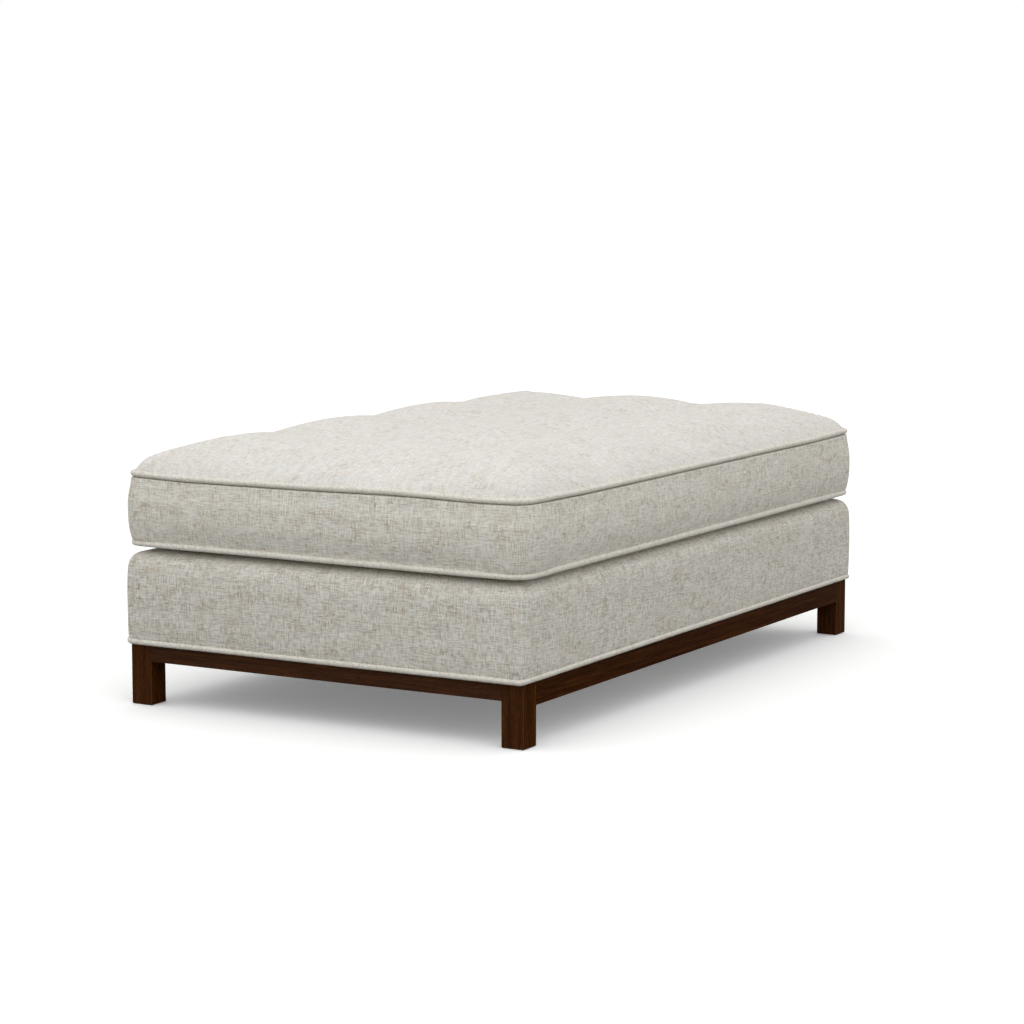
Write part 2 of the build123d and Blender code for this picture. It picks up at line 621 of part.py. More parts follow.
# Foam core: a block with full sides, bored for the twines and let in for the discs and the zip
core_bottom = lining + FOAM_GAP
with BuildPart() as cushion_core:
    inside = [(height, outset) for outset, height in band_points(core_inset)]
    inside.insert(0, (core_bottom, -BOTTOM_SETBACK - core_inset))
    add(layered(inside, CUSHION_CORNER_CENTRE))
    with BuildSketch(Plane.XY.offset(core_bottom)):
        with tuft_points:
            RegularPolygon(TWINE_RADIUS + CLEARANCE, 6)
    extrude(amount=UPPER_SEAM - core_bottom, mode=Mode.SUBTRACT)
    with BuildSketch(Plane.XY.offset(core_bottom)):
        with tuft_points:
            RegularPolygon(DISC_RADIUS + CLEARANCE, ROUND_SIDES)
    extrude(amount=DISC_THICKNESS, mode=Mode.SUBTRACT)
    channel_depth = BAND_OUTSET - TAPE_OUTSET + TAPE_THICKNESS + FOAM_GAP
    with Locations((0, HALF_WIDTH + BAND_OUTSET - channel_depth / 2, ZIP_HEIGHT)):
        Box(ZIP_PANEL_LENGTH + 2, channel_depth, TAPE_HEIGHT + 2, mode=Mode.SUBTRACT)
save(cushion_core, "cushion_core")


def end_rise(distance):
    """How far the crown has risen at a distance from its edge, from 0 to 1."""
    return min(distance / CROWN_RISE_LENGTH, 1) ** 0.6


def crown_points(distance, half_length, half_width, scale):
    """Half a section across the crown at a distance from its end, from its seam to its middle."""
    corner = CUSHION_CORNER_CENTRE + CROWN_OUTSET
    reach = corner - min(distance, corner)
    width = half_width - corner + sqrt(corner**2 - reach**2)
    pillow_phase = 2 * pi * (half_length - distance) / TUFT_SPACING_X
    inside = distance < half_length - 1.5 * TUFT_SPACING_X
    near_column = 0 if inside else (1 + cos(pillow_phase)) / 2
    rise = max(end_rise(distance), 0.02) * scale
    crest = UPPER_SEAM + rise * (CROWN_HEIGHT - COLUMN_VALLEY * near_column)
    valley = UPPER_SEAM + rise * (CROWN_HEIGHT - ROW_VALLEY - TUFT_DEPTH * near_column)
    riser_length = min(RISER_LENGTH, distance + 5)
    shoulder = min(rise, scale * end_rise(riser_length)) * CROWN_HEIGHT
    riser = width - riser_length
    row = TUFT_SPACING_Y / 2
    return [
        (width, UPPER_SEAM),
        (width - riser_length * 0.3, UPPER_SEAM + shoulder * 0.52),
        (riser, UPPER_SEAM + shoulder),
        ((riser + row) / 2, crest),
        (row, valley),
        (0, crest),
    ]


def crown_form(inset, rounded):
    """The crown over the upper seam, lofted from end to end and drawn down at the tufts."""
    half_length = HALF_LENGTH + CROWN_OUTSET - inset
    half_width = HALF_WIDTH + CROWN_OUTSET - inset
    near_end = [half_length - d for d in (0, 4, 16, 45)]
    stations = near_end + [TUFT_SPACING_X / 4 * n for n in range(7, 0, -1)]
    stations += [0] + [-x for x in reversed(stations)]
    with BuildPart() as crown:
        for x in stations:
            half = crown_points(
                half_length - abs(x), half_length, half_width, 1 - inset / CROWN_HEIGHT
            )
            points = half + [(-y, z) for y, z in reversed(half[:-1])]
            with BuildSketch(Plane.YZ.offset(x)):
                with BuildLine():
                    if rounded:
                        for start in range(0, len(points) - 1, 2):
                            ThreePointArc(*points[start : start + 3])
                    else:
                        Polyline(points[0], *points[2:-2], points[-1])
                    Line(points[-1], points[0])
                make_face()
        loft(ruled=True)
    return crown.part


# Fibre crown over the core, bored for the twines
with BuildPart() as cushion_crown:
    add(crown_form(core_inset, rounded=False))
    with BuildSketch(Plane.XY.offset(UPPER_SEAM)):
        with tuft_points:
            RegularPolygon(TWINE_RADIUS + CLEARANCE, 6)
    extrude(amount=CROWN_HEIGHT, mode=Mode.SUBTRACT)
save(cushion_crown, "cushion_crown")

# Top panel: the fabric over the crown
with BuildPart() as cushion_top_panel:
    add(crown_form(0, rounded=True))
    add(crown_form(FABRIC, rounded=False), mode=Mode.SUBTRACT)
save(cushion_top_panel, "cushion_top_panel")

# Twines from the discs under the core up to the tufts, and the discs
with BuildPart() as tuft_twines:
    twine_bottom = core_bottom + DISC_THICKNESS
    tuft_scale = 1 - core_inset / CROWN_HEIGHT
    twine_top = UPPER_SEAM + tuft_scale * (CROWN_HEIGHT - ROW_VALLEY - TUFT_DEPTH) - 0.5
    with BuildSketch(Plane.XY.offset(twine_bottom)):
        with tuft_points:
            RegularPolygon(TWINE_RADIUS, 6)
    extrude(amount=twine_top - twine_bottom)
save(tuft_twines, "tuft_twines")

with BuildPart() as tuft_discs:
    with BuildSketch(Plane.XY.offset(core_bottom)):
        with tuft_points:
            RegularPolygon(DISC_RADIUS, ROUND_SIDES)
    extrude(amount=DISC_THICKNESS)
save(tuft_discs, "tuft_discs")


def back_box(x, low, high, length, height, mode=Mode.ADD):
    """A box on the back of the cushion between two outsets, at the height of the zip."""
    with Locations((x, HALF_WIDTH + (low + high) / 2, ZIP_HEIGHT)):
        Box(length, high - low, height, mode=mode)


# Zip: its tape behind the gap, the chain along it and a stop at each end
with BuildPart() as zip_tape:
    back_box(0, TAPE_OUTSET - TAPE_THICKNESS, TAPE_OUTSET, ZIP_PANEL_LENGTH, TAPE_HEIGHT)
save(zip_tape, "zip_tape")

chain_outset = TAPE_OUTSET + CHAIN_THICKNESS
with BuildPart() as zip_chain:
    back_box(0, TAPE_OUTSET, chain_outset, CHAIN_LENGTH, CHAIN_HEIGHT)
    chamfer(zip_chain.faces().sort_by(Axis.Y)[-1].edges().filter_by(Axis.X), 0.7)
save(zip_chain, "zip_chain")

with BuildPart() as zip_stops:
    for side_x in SIDES:
        stop_x = side_x * (CHAIN_LENGTH / 2 + 2.5)
        back_box(stop_x, TAPE_OUTSET, chain_outset + 0.6, 5, CHAIN_HEIGHT + 2)
save(zip_stops, "zip_stops")

# Slider: a saddle over the chain with the bail for its pull
with BuildPart() as zip_slider:
    saddle_height = CHAIN_HEIGHT + 2 * (SLIDER_WALL + 0.3)
    back_box(SLIDER_X, TAPE_OUTSET + 0.3, SLIDER_TOP_OUTSET, SLIDER_LENGTH, saddle_height)
    chamfer(zip_slider.edges().filter_by(Axis.Y), 1.5)
    chain_space = CHAIN_HEIGHT + 0.6
    back_box(SLIDER_X, TAPE_OUTSET, chain_outset + 0.3, SLIDER_LENGTH, chain_space, Mode.SUBTRACT)
    back_box(SLIDER_X, SLIDER_TOP_OUTSET, BAIL_OUTSET, BAIL_SPAN, BAIL_WIDTH)
    bail_inside = BAIL_OUTSET - 1
    bail_opening = BAIL_SPAN - 2
    back_box(SLIDER_X, SLIDER_TOP_OUTSET, bail_inside, bail_opening, BAIL_WIDTH, Mode.SUBTRACT)
save(zip_slider, "zip_slider")

# Pull: a tab with a window for the bail, its round cross bar lying under it
with BuildPart() as zip_pull:
    pull_low = SLIDER_TOP_OUTSET + 0.1
    pull_high = pull_low + PULL_THICKNESS
    bar = PULL_THICKNESS / 2
    tab_x = SLIDER_X - (bar + PULL_LENGTH) / 2
    back_box(tab_x, pull_low, pull_high, PULL_LENGTH, PULL_WIDTH)
    chamfer(zip_pull.edges().filter_by(Axis.Y).group_by(Axis.X)[0], 2)
    window = BAIL_SPAN / 2 + 2
    window_x = SLIDER_X - window / 2
    back_box(window_x, pull_low, pull_high, window, PULL_WIDTH / 2, Mode.SUBTRACT)
    with Locations((SLIDER_X, HALF_WIDTH + pull_low + bar, ZIP_HEIGHT)):
        Cylinder(bar, PULL_WIDTH)
save(zip_pull, "zip_pull")
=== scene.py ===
import math

import bpy
import numpy as np
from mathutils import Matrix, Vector, noise


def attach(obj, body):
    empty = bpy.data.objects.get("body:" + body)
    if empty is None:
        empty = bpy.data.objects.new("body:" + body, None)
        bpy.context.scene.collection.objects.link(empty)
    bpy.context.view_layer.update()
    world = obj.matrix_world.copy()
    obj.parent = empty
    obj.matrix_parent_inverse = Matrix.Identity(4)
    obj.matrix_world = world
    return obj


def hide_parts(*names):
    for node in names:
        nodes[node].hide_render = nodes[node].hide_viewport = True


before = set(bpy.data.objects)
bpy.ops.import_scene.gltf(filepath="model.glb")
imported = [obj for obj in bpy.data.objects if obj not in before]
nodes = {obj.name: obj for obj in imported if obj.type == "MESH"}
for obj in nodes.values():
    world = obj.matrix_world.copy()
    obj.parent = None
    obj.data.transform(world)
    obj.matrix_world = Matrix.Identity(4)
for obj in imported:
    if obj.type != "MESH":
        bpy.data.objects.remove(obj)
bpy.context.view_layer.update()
scene = bpy.context.scene

# Metres. An outset is a distance outwards from the vertical faces of the wooden base.
HALF_LENGTH = 0.688
HALF_WIDTH = 0.420
MM = 0.001
# Distance between places round the plan, and the outset that lengths round a corner are taken at
STATION_STEP = 0.012
USUAL_OUTSET = 0.010
# How far from a corner the sides' own shapes fade in, as a share of half a long side, and how many
# times that share it is of half an end
CORNER_REACH = 0.12
END_STRETCH = 1.6
# The radius that the plan's corners keep at least
LEAST_RADIUS = 0.004
WELT_SIDES = 12
# Cosine of the angle at which a welt's cloth is cut
BIAS = 0.7071
CLOTH_FRAMES = 20


# Meshes


def fade(values, none, full):
    """0 up to none, 1 from full on and straight in between; full may be the lower one."""
    return np.clip((values - none) / (full - none), 0, 1)


def bell(values, width):
    """1 at zero, fading out on both sides."""
    return np.exp(-((values / width) ** 2))


def stations(corner_centre, corner_steps, cut=None):
    """Places round the plan: how far along each half side, the outward direction and the distance.
    With cut, the run starts and ends on the back side at that distance from its middle."""
    reach_x = HALF_LENGTH - corner_centre
    reach_y = HALF_WIDTH - corner_centre
    start = 0.0 if cut is None else cut / reach_x
    legs = [
        ((-start, 1), (-1, 1), (0, 1)),
        ((-1, 1), (-1, -1), (-1, 0)),
        ((-1, -1), (1, -1), (0, -1)),
        ((1, -1), (1, 1), (1, 0)),
        ((1, 1), (start, 1), (0, 1)),
    ]
    rows = []
    distance = 0.0
    for number, (first, last, out) in enumerate(legs):
        span = math.hypot((last[0] - first[0]) * reach_x, (last[1] - first[1]) * reach_y)
        count = max(2, round(span / STATION_STEP))
        for i in range(count + 1):
            t = i / count
            rows.append(
                (
                    first[0] + (last[0] - first[0]) * t,
                    first[1] + (last[1] - first[1]) * t,
                    out[0],
                    out[1],
                    distance + span * t,
                )
            )
        distance += span
        if number < len(legs) - 1:
            turn = math.atan2(out[1], out[0])
            arc = (corner_centre + USUAL_OUTSET) * math.pi / 2
            for i in range(1, corner_steps):
                t = i / corner_steps
                angle = turn + t * math.pi / 2
                rows.append((last[0], last[1], math.cos(angle), math.sin(angle), distance + arc * t))
            distance += arc
    if cut is None:
        rows.pop()
    return np.array(rows), distance


def round_plan(rows, corner_centre, outset, height):
    """Points round the plan. rows is stations by 5, outset and height are stations by profile points."""
    radius = np.maximum(corner_centre + outset, LEAST_RADIUS)
    x = rows[:, 0:1] * (HALF_LENGTH + outset - radius) + rows[:, 2:3] * radius
    y = rows[:, 1:2] * (HALF_WIDTH + outset - radius) + rows[:, 3:4] * radius
    return np.stack([x, y, height + 0 * x], axis=-1)


def side_share(rows):
    """How far each station belongs to the long sides and to the ends, fading to the corners."""
    long_side = rows[:, 3] ** 2 * fade(np.abs(rows[:, 0]), 1, 1 - CORNER_REACH)
    end_side = rows[:, 2] ** 2 * fade(np.abs(rows[:, 1]), 1, 1 - CORNER_REACH * END_STRETCH)
    return long_side, end_side


def smooth_profile(points, parts):
    """A curve through points given in millimetres, each run divided into parts."""
    p = np.array(points, float) * MM
    p = np.vstack([2 * p[0] - p[1], p, 2 * p[-1] - p[-2]])
    made = []
    for i in range(1, len(p) - 2):
        a, b, c, d = p[i - 1 : i + 3]
        for k in range(parts):
            t = k / parts
            made.append(
                0.5
                * (
                    2 * b
                    + (c - a) * t
                    + (2 * a - 5 * b + 4 * c - d) * t**2
                    + (3 * b - a - 3 * c + d) * t**3
                )
            )
    made.append(p[-2])
    return np.array(made)


def ripple(points, scale, seed):
    """Smooth noise from -1 to 1 at an array of points."""
    flat = points.reshape(-1, 3)
    offset = Vector((seed * 7.31, seed * 3.77, seed * 5.13))
    made = [noise.noise(Vector(p) * scale + offset) for p in flat]
    return np.array(made).reshape(points.shape[:-1])


def add_mesh(name, points, faces, weave=None):
    """A smooth mesh in the scene. weave holds each face corner's place on the flat cloth."""
    mesh = bpy.data.meshes.new(name)
    mesh.from_pydata(points, [], faces)
    if weave is not None:
        layer = mesh.uv_layers.new(name="weave")
        layer.data.foreach_set("uv", np.array(weave, np.float32).ravel())
    mesh.shade_smooth()
    mesh.update()
    piece = bpy.data.objects.new(name, mesh)
    scene.collection.objects.link(piece)
    return piece


def grid_mesh(name, points, uv, closed=False, wrap_u=0.0, flip=False):
    """A smooth sheet from a grid of points, with its flat pattern in metres as the UV map weave."""
    rows, columns = points.shape[:2]
    faces, loops = [], []
    for i in range(rows if closed else rows - 1):
        n = (i + 1) % rows
        for j in range(columns - 1):
            quad = [(i, j), (n, j), (n, j + 1), (i, j + 1)]
            if flip:
                quad.reverse()
            faces.append([a * columns + b for a, b in quad])
            for a, b in quad:
                u, v = uv[a, b]
                if closed and a == 0 and n == 0 and i == rows - 1:
                    u = u + wrap_u
                loops.append((u, v))
    return add_mesh(name, points.reshape(-1, 3).tolist(), faces, loops)


def arc_lengths(points):
    """Distance along each row of a grid of points."""
    steps = np.linalg.norm(np.diff(points, axis=1), axis=-1)
    return np.hstack([np.zeros((len(points), 1)), np.cumsum(steps, axis=1)])


def band_mesh(name, rows, length, points, closed=False):
    """A sheet that runs round the plan, its pattern level with the floor."""
    up = arc_lengths(points)
    up = np.repeat(up.mean(axis=0)[None, :], len(points), axis=0)
    along = np.repeat(rows[:, 4:5], points.shape[1], axis=1)
    uv = np.stack([along, up], axis=-1)
    return grid_mesh(name, points, uv, closed, wrap_u=length)


def welt_mesh(name, rows, length, corner_centre, outset, height, radius, seed):
    """A corded edge round the plan, its cloth cut on the bias."""
    outset = np.broadcast_to(outset, len(rows))
    radius = np.broadcast_to(radius, len(rows))
    middle = round_plan(rows, corner_centre, outset[:, None], height[:, None])
    swell = radius * (1 + 0.035 * ripple(middle[:, 0], 55, seed))
    sway = 0.0004 * ripple(middle[:, 0], 18, seed + 1)
    turn = np.linspace(0, 2 * math.pi, WELT_SIDES + 1)[None, :]
    outsets = (outset + sway)[:, None] + swell[:, None] * np.cos(turn)
    heights = height[:, None] + swell[:, None] * np.sin(turn)
    points = round_plan(rows, corner_centre, outsets, heights)
    along = np.repeat(rows[:, 4:5], WELT_SIDES + 1, axis=1)
    round_it = radius.mean() * np.repeat(turn, len(rows), axis=0)
    uv = np.stack([(along - round_it) * BIAS, (along + round_it) * BIAS], axis=-1)
    faces, loops = [], []
    for i in range(len(rows)):
        n = (i + 1) % len(rows)
        extra = length * BIAS if n == 0 else 0.0
        for j in range(WELT_SIDES):
            m = (j + 1) % WELT_SIDES
            faces.append([a * WELT_SIDES + b for a, b in ((i, j), (i, m), (n, m), (n, j))])
            for a, b in ((i, j), (i, j + 1), (n, j + 1), (n, j)):
                u, v = uv[a, b]
                more = extra if a == n else 0.0
                loops.append((u + more, v + more))
    return add_mesh(name, points[:, :-1].reshape(-1, 3).tolist(), faces, loops)


def tube_faces(base, sections, sides):
    """Faces of an open tube whose sections of points start at number base."""
    faces = []
    for first in range(base, base + (sections - 1) * sides, sides):
        for k in range(sides):
            m = (k + 1) % sides
            faces.append((first + k, first + m, first + sides + m, first + sides + k))
    return faces


def edge_distance(x, y, outset):
    """Metres in from the edge of a cushion panel with its round corners, at arrays of places."""
    half_x, half_y = HALF_LENGTH + outset, HALF_WIDTH + outset
    radius = CUSHION_CENTRE + outset
    dx = np.maximum(np.abs(x) - (half_x - radius), 0)
    dy = np.maximum(np.abs(y) - (half_y - radius), 0)
    straight = np.minimum(half_x - np.abs(x), half_y - np.abs(y))
    return np.clip(np.where((dx > 0) & (dy > 0), radius - np.hypot(dx, dy), straight), 0, None)


def panel_lines(outset, edge, step):
    """Places along the length and the width of a cushion panel, closer together at its edge."""
    lines = []
    for half in (HALF_LENGTH + outset, HALF_WIDTH + outset):
        inner = half - edge[-1] - step
        middle = np.linspace(-inner, inner, round(2 * inner / step) + 1)
        low = -half + np.array(edge)
        lines.append(np.concatenate([low, middle, -low[::-1]]))
    return lines


def panel_places(lines, outset):
    """A grid over a cushion panel whose edge follows the seam with its round corners."""
    x, y = np.meshgrid(*lines, indexing="ij")
    half_x, half_y = HALF_LENGTH + outset, HALF_WIDTH + outset
    in_x, in_y = half_x - np.abs(x), half_y - np.abs(y)
    level = np.minimum(in_x, in_y)
    radius = CUSHION_CENTRE + outset - level
    to_corner = np.maximum(in_x, in_y) - level
    bend = (radius > 0) & (to_corner < radius)
    safe = np.where(bend, radius, 1.0)
    swing = math.pi / 4 - np.where(bend, to_corner / safe, 0) * math.pi / 4
    near_x = in_x <= in_y
    out_x = np.where(near_x, np.cos(swing), np.sin(swing))
    out_y = np.where(near_x, np.sin(swing), np.cos(swing))
    new_x = np.where(bend, np.sign(x) * (half_x - level - safe + safe * out_x), x)
    new_y = np.where(bend, np.sign(y) * (half_y - level - safe + safe * out_y), y)
    return new_x, new_y


def smooth_steps(values, places, heights):
    """A smooth curve that rises or falls all the way through places and heights."""
    places, heights = np.array(places, float), np.array(heights, float)
    slopes = np.diff(heights) / np.diff(places)
    # It starts a little steeper than its first run and ends level
    inner = 2 * slopes[1:] * slopes[:-1] / (slopes[1:] + slopes[:-1])
    tangents = np.concatenate([[slopes[0] * 1.2], inner, [0.0]])
    k = np.clip(np.searchsorted(places, values) - 1, 0, len(places) - 2)
    wide = places[k + 1] - places[k]
    t = np.clip((values - places[k]) / wide, 0, 1)
    return (
        heights[k] * (1 + 2 * t) * (1 - t) ** 2
        + tangents[k] * wide * t * (1 - t) ** 2
        + heights[k + 1] * t**2 * (3 - 2 * t)
        + tangents[k + 1] * wide * t**2 * (t - 1)
    )


def swollen(points, held, pressure, cap, slack):
    """Cloth simulation: how each point of a grid moves when the cloth, cut larger by slack,
    swells under pressure. Points with held at 1 stay, and none moves further than cap."""
    sample = grid_mesh("cloth_sample", points, np.zeros(points.shape[:2] + (2,)))
    group = sample.vertex_groups.new(name="held")
    for number, weight in enumerate(held.ravel()):
        if weight > 0:
            group.add([number], float(weight), "REPLACE")
    cloth = sample.modifiers.new("cloth", "CLOTH")
    settings = cloth.settings
    settings.quality = 6
    settings.mass = 0.35
    settings.tension_stiffness = 18
    settings.compression_stiffness = 18
    settings.shear_stiffness = 6
    settings.bending_stiffness = 0.6
    settings.vertex_group_mass = "held"
    settings.shrink_min = -slack
    settings.use_pressure = True
    settings.uniform_pressure_force = pressure
    settings.effector_weights.gravity = 0
    cloth.point_cache.frame_start = 1
    cloth.point_cache.frame_end = CLOTH_FRAMES
    for number in range(1, CLOTH_FRAMES + 1):
        scene.frame_set(number)
    shown = sample.evaluated_get(bpy.context.evaluated_depsgraph_get())
    after = np.empty(points.size, np.float32)
    shown.data.vertices.foreach_get("co", after)
    move = after.reshape(points.shape) - points
    bpy.data.objects.remove(sample)
    scene.frame_set(1)
    size = np.linalg.norm(move, axis=-1, keepdims=True) + 1e-9
    return move * cap * np.tanh(size / cap) / size


def carried(move, from_lines, to_lines):
    """The moves of a coarse grid at the places of a finer one."""
    for axis, (new, old) in enumerate(zip(to_lines, from_lines)):
        move = np.apply_along_axis(lambda values: np.interp(new, old, values), axis, move)
    return move


# Materials


def feed(tree, socket, value):
    """Sets a socket to a value, or links it to the socket that the value comes from."""
    if isinstance(value, bpy.types.NodeSocket):
        tree.links.new(value, socket)
    else:
        socket.default_value = value


def node_in(tree, kind, inputs, **settings):
    """A new node in a tree with its settings, and its inputs fed by number or name."""
    node = tree.nodes.new(kind)
    for name, setting in settings.items():
        setattr(node, name, setting)
    for name, value in inputs.items():
        feed(tree, node.inputs[name], value)
    return node


# Numbers of a colour mix's sockets, which share their names with others
MIX_FACTOR, MIX_A, MIX_B, MIXED = 0, 6, 7, 2


class Shader:
    """A material's node tree with short calls for adding and joining nodes."""

    def __init__(self, name):
        self.material = bpy.data.materials.new(name)
        self.material.use_nodes = True
        self.tree = self.material.node_tree
        self.bsdf = self.tree.nodes["Principled BSDF"]

    def node(self, kind, inputs, **settings):
        return node_in(self.tree, kind, inputs, **settings).outputs

    def math(self, operation, a, b=0.0):
        return self.node("ShaderNodeMath", {0: a, 1: b}, operation=operation)[0]

    def mix(self, factor, a, b, blend="MIX"):
        inputs = {MIX_FACTOR: factor, MIX_A: a, MIX_B: b}
        return self.node("ShaderNodeMix", inputs, data_type="RGBA", blend_type=blend)[MIXED]

    def ramp(self, factor, stops):
        node = node_in(self.tree, "ShaderNodeValToRGB", {0: factor})
        elements = node.color_ramp.elements
        while len(elements) < len(stops):
            elements.new(0.5)
        for element, (place, colour) in zip(elements, stops):
            element.position = place
            element.color = (*colour, 1)
        return node.outputs[0]

    def span(self, value, low, high, to_low=0.0, to_high=1.0):
        return self.node("ShaderNodeMapRange", dict(enumerate((value, low, high, to_low, to_high))))[0]

    def weave(self):
        return self.node("ShaderNodeUVMap", {}, uv_map="weave")[0]

    def coordinates(self, kind):
        return self.node("ShaderNodeTexCoord", {})[kind]

    def noise(self, vector, scale, seed, detail=2.0, roughness=0.5, distortion=0.0):
        shift = (seed, seed * 1.7, seed * 0.6)
        place = self.node("ShaderNodeMapping", {"Vector": vector, "Location": shift, "Scale": scale})[0]
        inputs = {"Vector": place, "Scale": 1.0, "Detail": detail, "Roughness": roughness}
        return self.node("ShaderNodeTexNoise", {**inputs, "Distortion": distortion})["Fac"]

    def split(self, vector):
        return self.node("ShaderNodeSeparateXYZ", {0: vector})

    def crosshatch(self, uv, pitch):
        """The rise and fall of plain weave with this distance between its threads."""
        u, v, _ = self.split(uv)
        across = self.math("SINE", self.math("MULTIPLY", u, math.pi / pitch))
        up = self.math("SINE", self.math("MULTIPLY", v, math.pi / pitch))
        return self.math("MULTIPLY", across, up)

    def bump(self, height, strength, distance):
        inputs = {"Strength": strength, "Distance": distance, "Height": height}
        self.tree.links.new(self.node("ShaderNodeBump", inputs)[0], self.bsdf.inputs["Normal"])

    def finish(self, colour, roughness, **plain):
        for name, value in {"Base_Color": colour, "Roughness": roughness, **plain}.items():
            feed(self.tree, self.bsdf.inputs[name.replace("_", " ")], value)
        return self.material


def tinted(stops, tint):
    """The stops of a colour ramp with each colour multiplied by the tint."""
    return [(stop, tuple(n * t for n, t in zip(shade, tint))) for stop, shade in stops]


LINEN_SHADES = [
    (0.10, (0.48, 0.445, 0.373)),
    (0.38, (0.690, 0.658, 0.573)),
    (0.60, (0.80, 0.777, 0.697)),
    (0.90, (0.94, 0.920, 0.845)),
]
LINEN_PITCH = 0.0013
SLUB_BROWN = (0.40, 0.285, 0.185, 1)
PATCH_BROWN = (0.60, 0.53, 0.43, 1)


def linen_material(name, spread, broad, patchy, flecked, tint, gloss=0.2, sheen=0.03):
    """Undyed linen crosshatch. A larger spread brings its threads closer in tone; broad is the share
    of wide bands in that tone, patchy and flecked are how strong its stains and brown slubs are."""
    s = Shader(name)
    uv = s.weave()
    warp = s.noise(uv, (560, 62, 1), 3.1, 2.0, 0.6)
    weft = s.noise(uv, (62, 560, 1), 8.7, 2.0, 0.6)
    warp_bands = s.noise(uv, (230, 17, 1), 14.2, 1.0)
    weft_bands = s.noise(uv, (17, 230, 1), 19.5, 1.0)
    patches = s.noise(uv, (17, 14, 1), 23.4, 3.0, 0.6)
    threads = s.math("MULTIPLY", s.math("ADD", warp, weft), 1 - broad)
    bands = s.math("MULTIPLY", s.math("ADD", warp_bands, weft_bands), broad)
    tone = s.math("ADD", threads, bands)
    colour = s.ramp(s.span(tone, 1 - spread, 1 + spread), tinted(LINEN_SHADES, tint))
    # Some threads are a little warmer and others a little cooler
    hue_warp = s.noise(uv, (260, 90, 1), 44.0, 1.0)
    hue_weft = s.noise(uv, (90, 260, 1), 49.0, 1.0)
    hue = s.math("MULTIPLY", s.math("ADD", hue_warp, hue_weft), 0.5)
    hue_shade = s.ramp(hue, [(0.36, (1.02, 0.998, 0.965)), (0.64, (0.98, 1.002, 1.04))])
    colour = s.mix(1.0, colour, hue_shade, "MULTIPLY")
    # Brown slubs lie in loose clumps
    slub_warp = s.noise(uv, (640, 75, 1), 31.0, 1.0)
    slub_weft = s.noise(uv, (75, 640, 1), 37.0, 1.0)
    slubs = s.span(s.math("MAXIMUM", slub_warp, slub_weft), 0.56, 0.68)
    clumps = s.span(s.noise(uv, (34, 48, 1), 61.0, 2.0, 0.6), 0.52, 0.66)
    fleck = s.math("MULTIPLY", slubs, clumps)
    colour = s.mix(s.math("MULTIPLY", fleck, flecked), colour, SLUB_BROWN)
    colour = s.mix(s.span(patches, 0.42, 0.68, 0.0, patchy), colour, PATCH_BROWN)
    crosshatch = s.crosshatch(uv, LINEN_PITCH)
    s.bump(s.math("ADD", s.math("MULTIPLY", crosshatch, 0.2), tone), 0.45, 0.0007)
    return s.finish(colour, 0.92, Sheen_Weight=sheen, Sheen_Roughness=0.5, Specular_IOR_Level=gloss)


WOOD_SHADES = [
    (0.34, (0.026, 0.0060, 0.0008)),
    (0.47, (0.043, 0.0118, 0.0017)),
    (0.55, (0.060, 0.0185, 0.0030)),
    (0.68, (0.100, 0.0350, 0.0075)),
]
PORE_BROWN = (0.008, 0.0025, 0.0006, 1)
# Colour of the painted sheen on faces to the left and right
PAINTED_SHEEN_BROWN = (0.085, 0.060, 0.045, 1)
# Colour of the painted highlight on the rounded edges
EDGE_HIGHLIGHT_BROWN = (0.17, 0.085, 0.040, 1)


def wood_material(name, axis, tint, painted_sheen):
    """Dark stained wood whose grain runs along an axis. Its last argument is how strongly a painted sheen
    lightens its faces to the left and right, standing in for light from the left."""
    s = Shader(name)
    place = s.coordinates("Object")

    def along_grain(across, along):
        scale = [across] * 3
        scale[axis] = along
        return scale

    grain = s.noise(place, along_grain(440.0, 14.0), 2.0, 3.0, 0.6)
    figure = s.noise(place, along_grain(120.0, 3.0), 5.0, 3.0, 0.55, 0.6)
    pore = s.noise(place, along_grain(800.0, 110.0), 9.0, 1.0)
    tone = s.math("ADD", s.math("MULTIPLY", grain, 0.65), s.math("MULTIPLY", figure, 0.35))
    colour = s.ramp(tone, tinted(WOOD_SHADES, tint))
    colour = s.mix(s.span(pore, 0.56, 0.70, 0.0, 0.85), colour, PORE_BROWN)
    facing = [s.math("ABSOLUTE", side) for side in s.split(s.coordinates("Normal"))]
    # Painted sheen: faces to the left and right are lightened, standing in for light from the left glancing
    # off them
    colour = s.mix(s.span(facing[0], 0.5, 0.95, 0.0, painted_sheen), colour, PAINTED_SHEEN_BROWN)
    # Painted highlight on the rounded edges, which face no side squarely, standing in for light caught by
    # their bevel
    flattest = s.math("MAXIMUM", s.math("MAXIMUM", facing[0], facing[1]), facing[2])
    painted_edge_highlight = s.math("MULTIPLY", s.span(flattest, 0.97, 0.80), 0.3)
    colour = s.mix(painted_edge_highlight, colour, EDGE_HIGHLIGHT_BROWN)
    s.bump(s.math("SUBTRACT", grain, s.math("MULTIPLY", pore, 0.5)), 0.3, 0.0004)
    return s.finish(colour, s.span(tone, 0.35, 0.65, 0.50, 0.38), Specular_IOR_Level=0.005)


def cloth_material(name, dark, light, pitch):
    """A plain woven or felted cloth of two tones, with this distance between its threads."""
    s = Shader(name)
    uv = s.weave()
    warp = s.noise(uv, (0.35 / pitch, 25, 1), 4.0)
    weft = s.noise(uv, (25, 0.35 / pitch, 1), 11.0)
    mottle = s.noise(uv, (40, 40, 1), 17.0, 3.0)
    tone = s.math("ADD", s.math("ADD", warp, weft), s.math("MULTIPLY", mottle, 0.5))
    colour = s.ramp(s.span(tone, 0.97, 1.53), [(0.0, dark), (1.0, light)])
    s.bump(s.math("ADD", s.crosshatch(uv, pitch), tone), 0.5, 0.0004)
    return s.finish(colour, 0.95, Specular_IOR_Level=0.2)


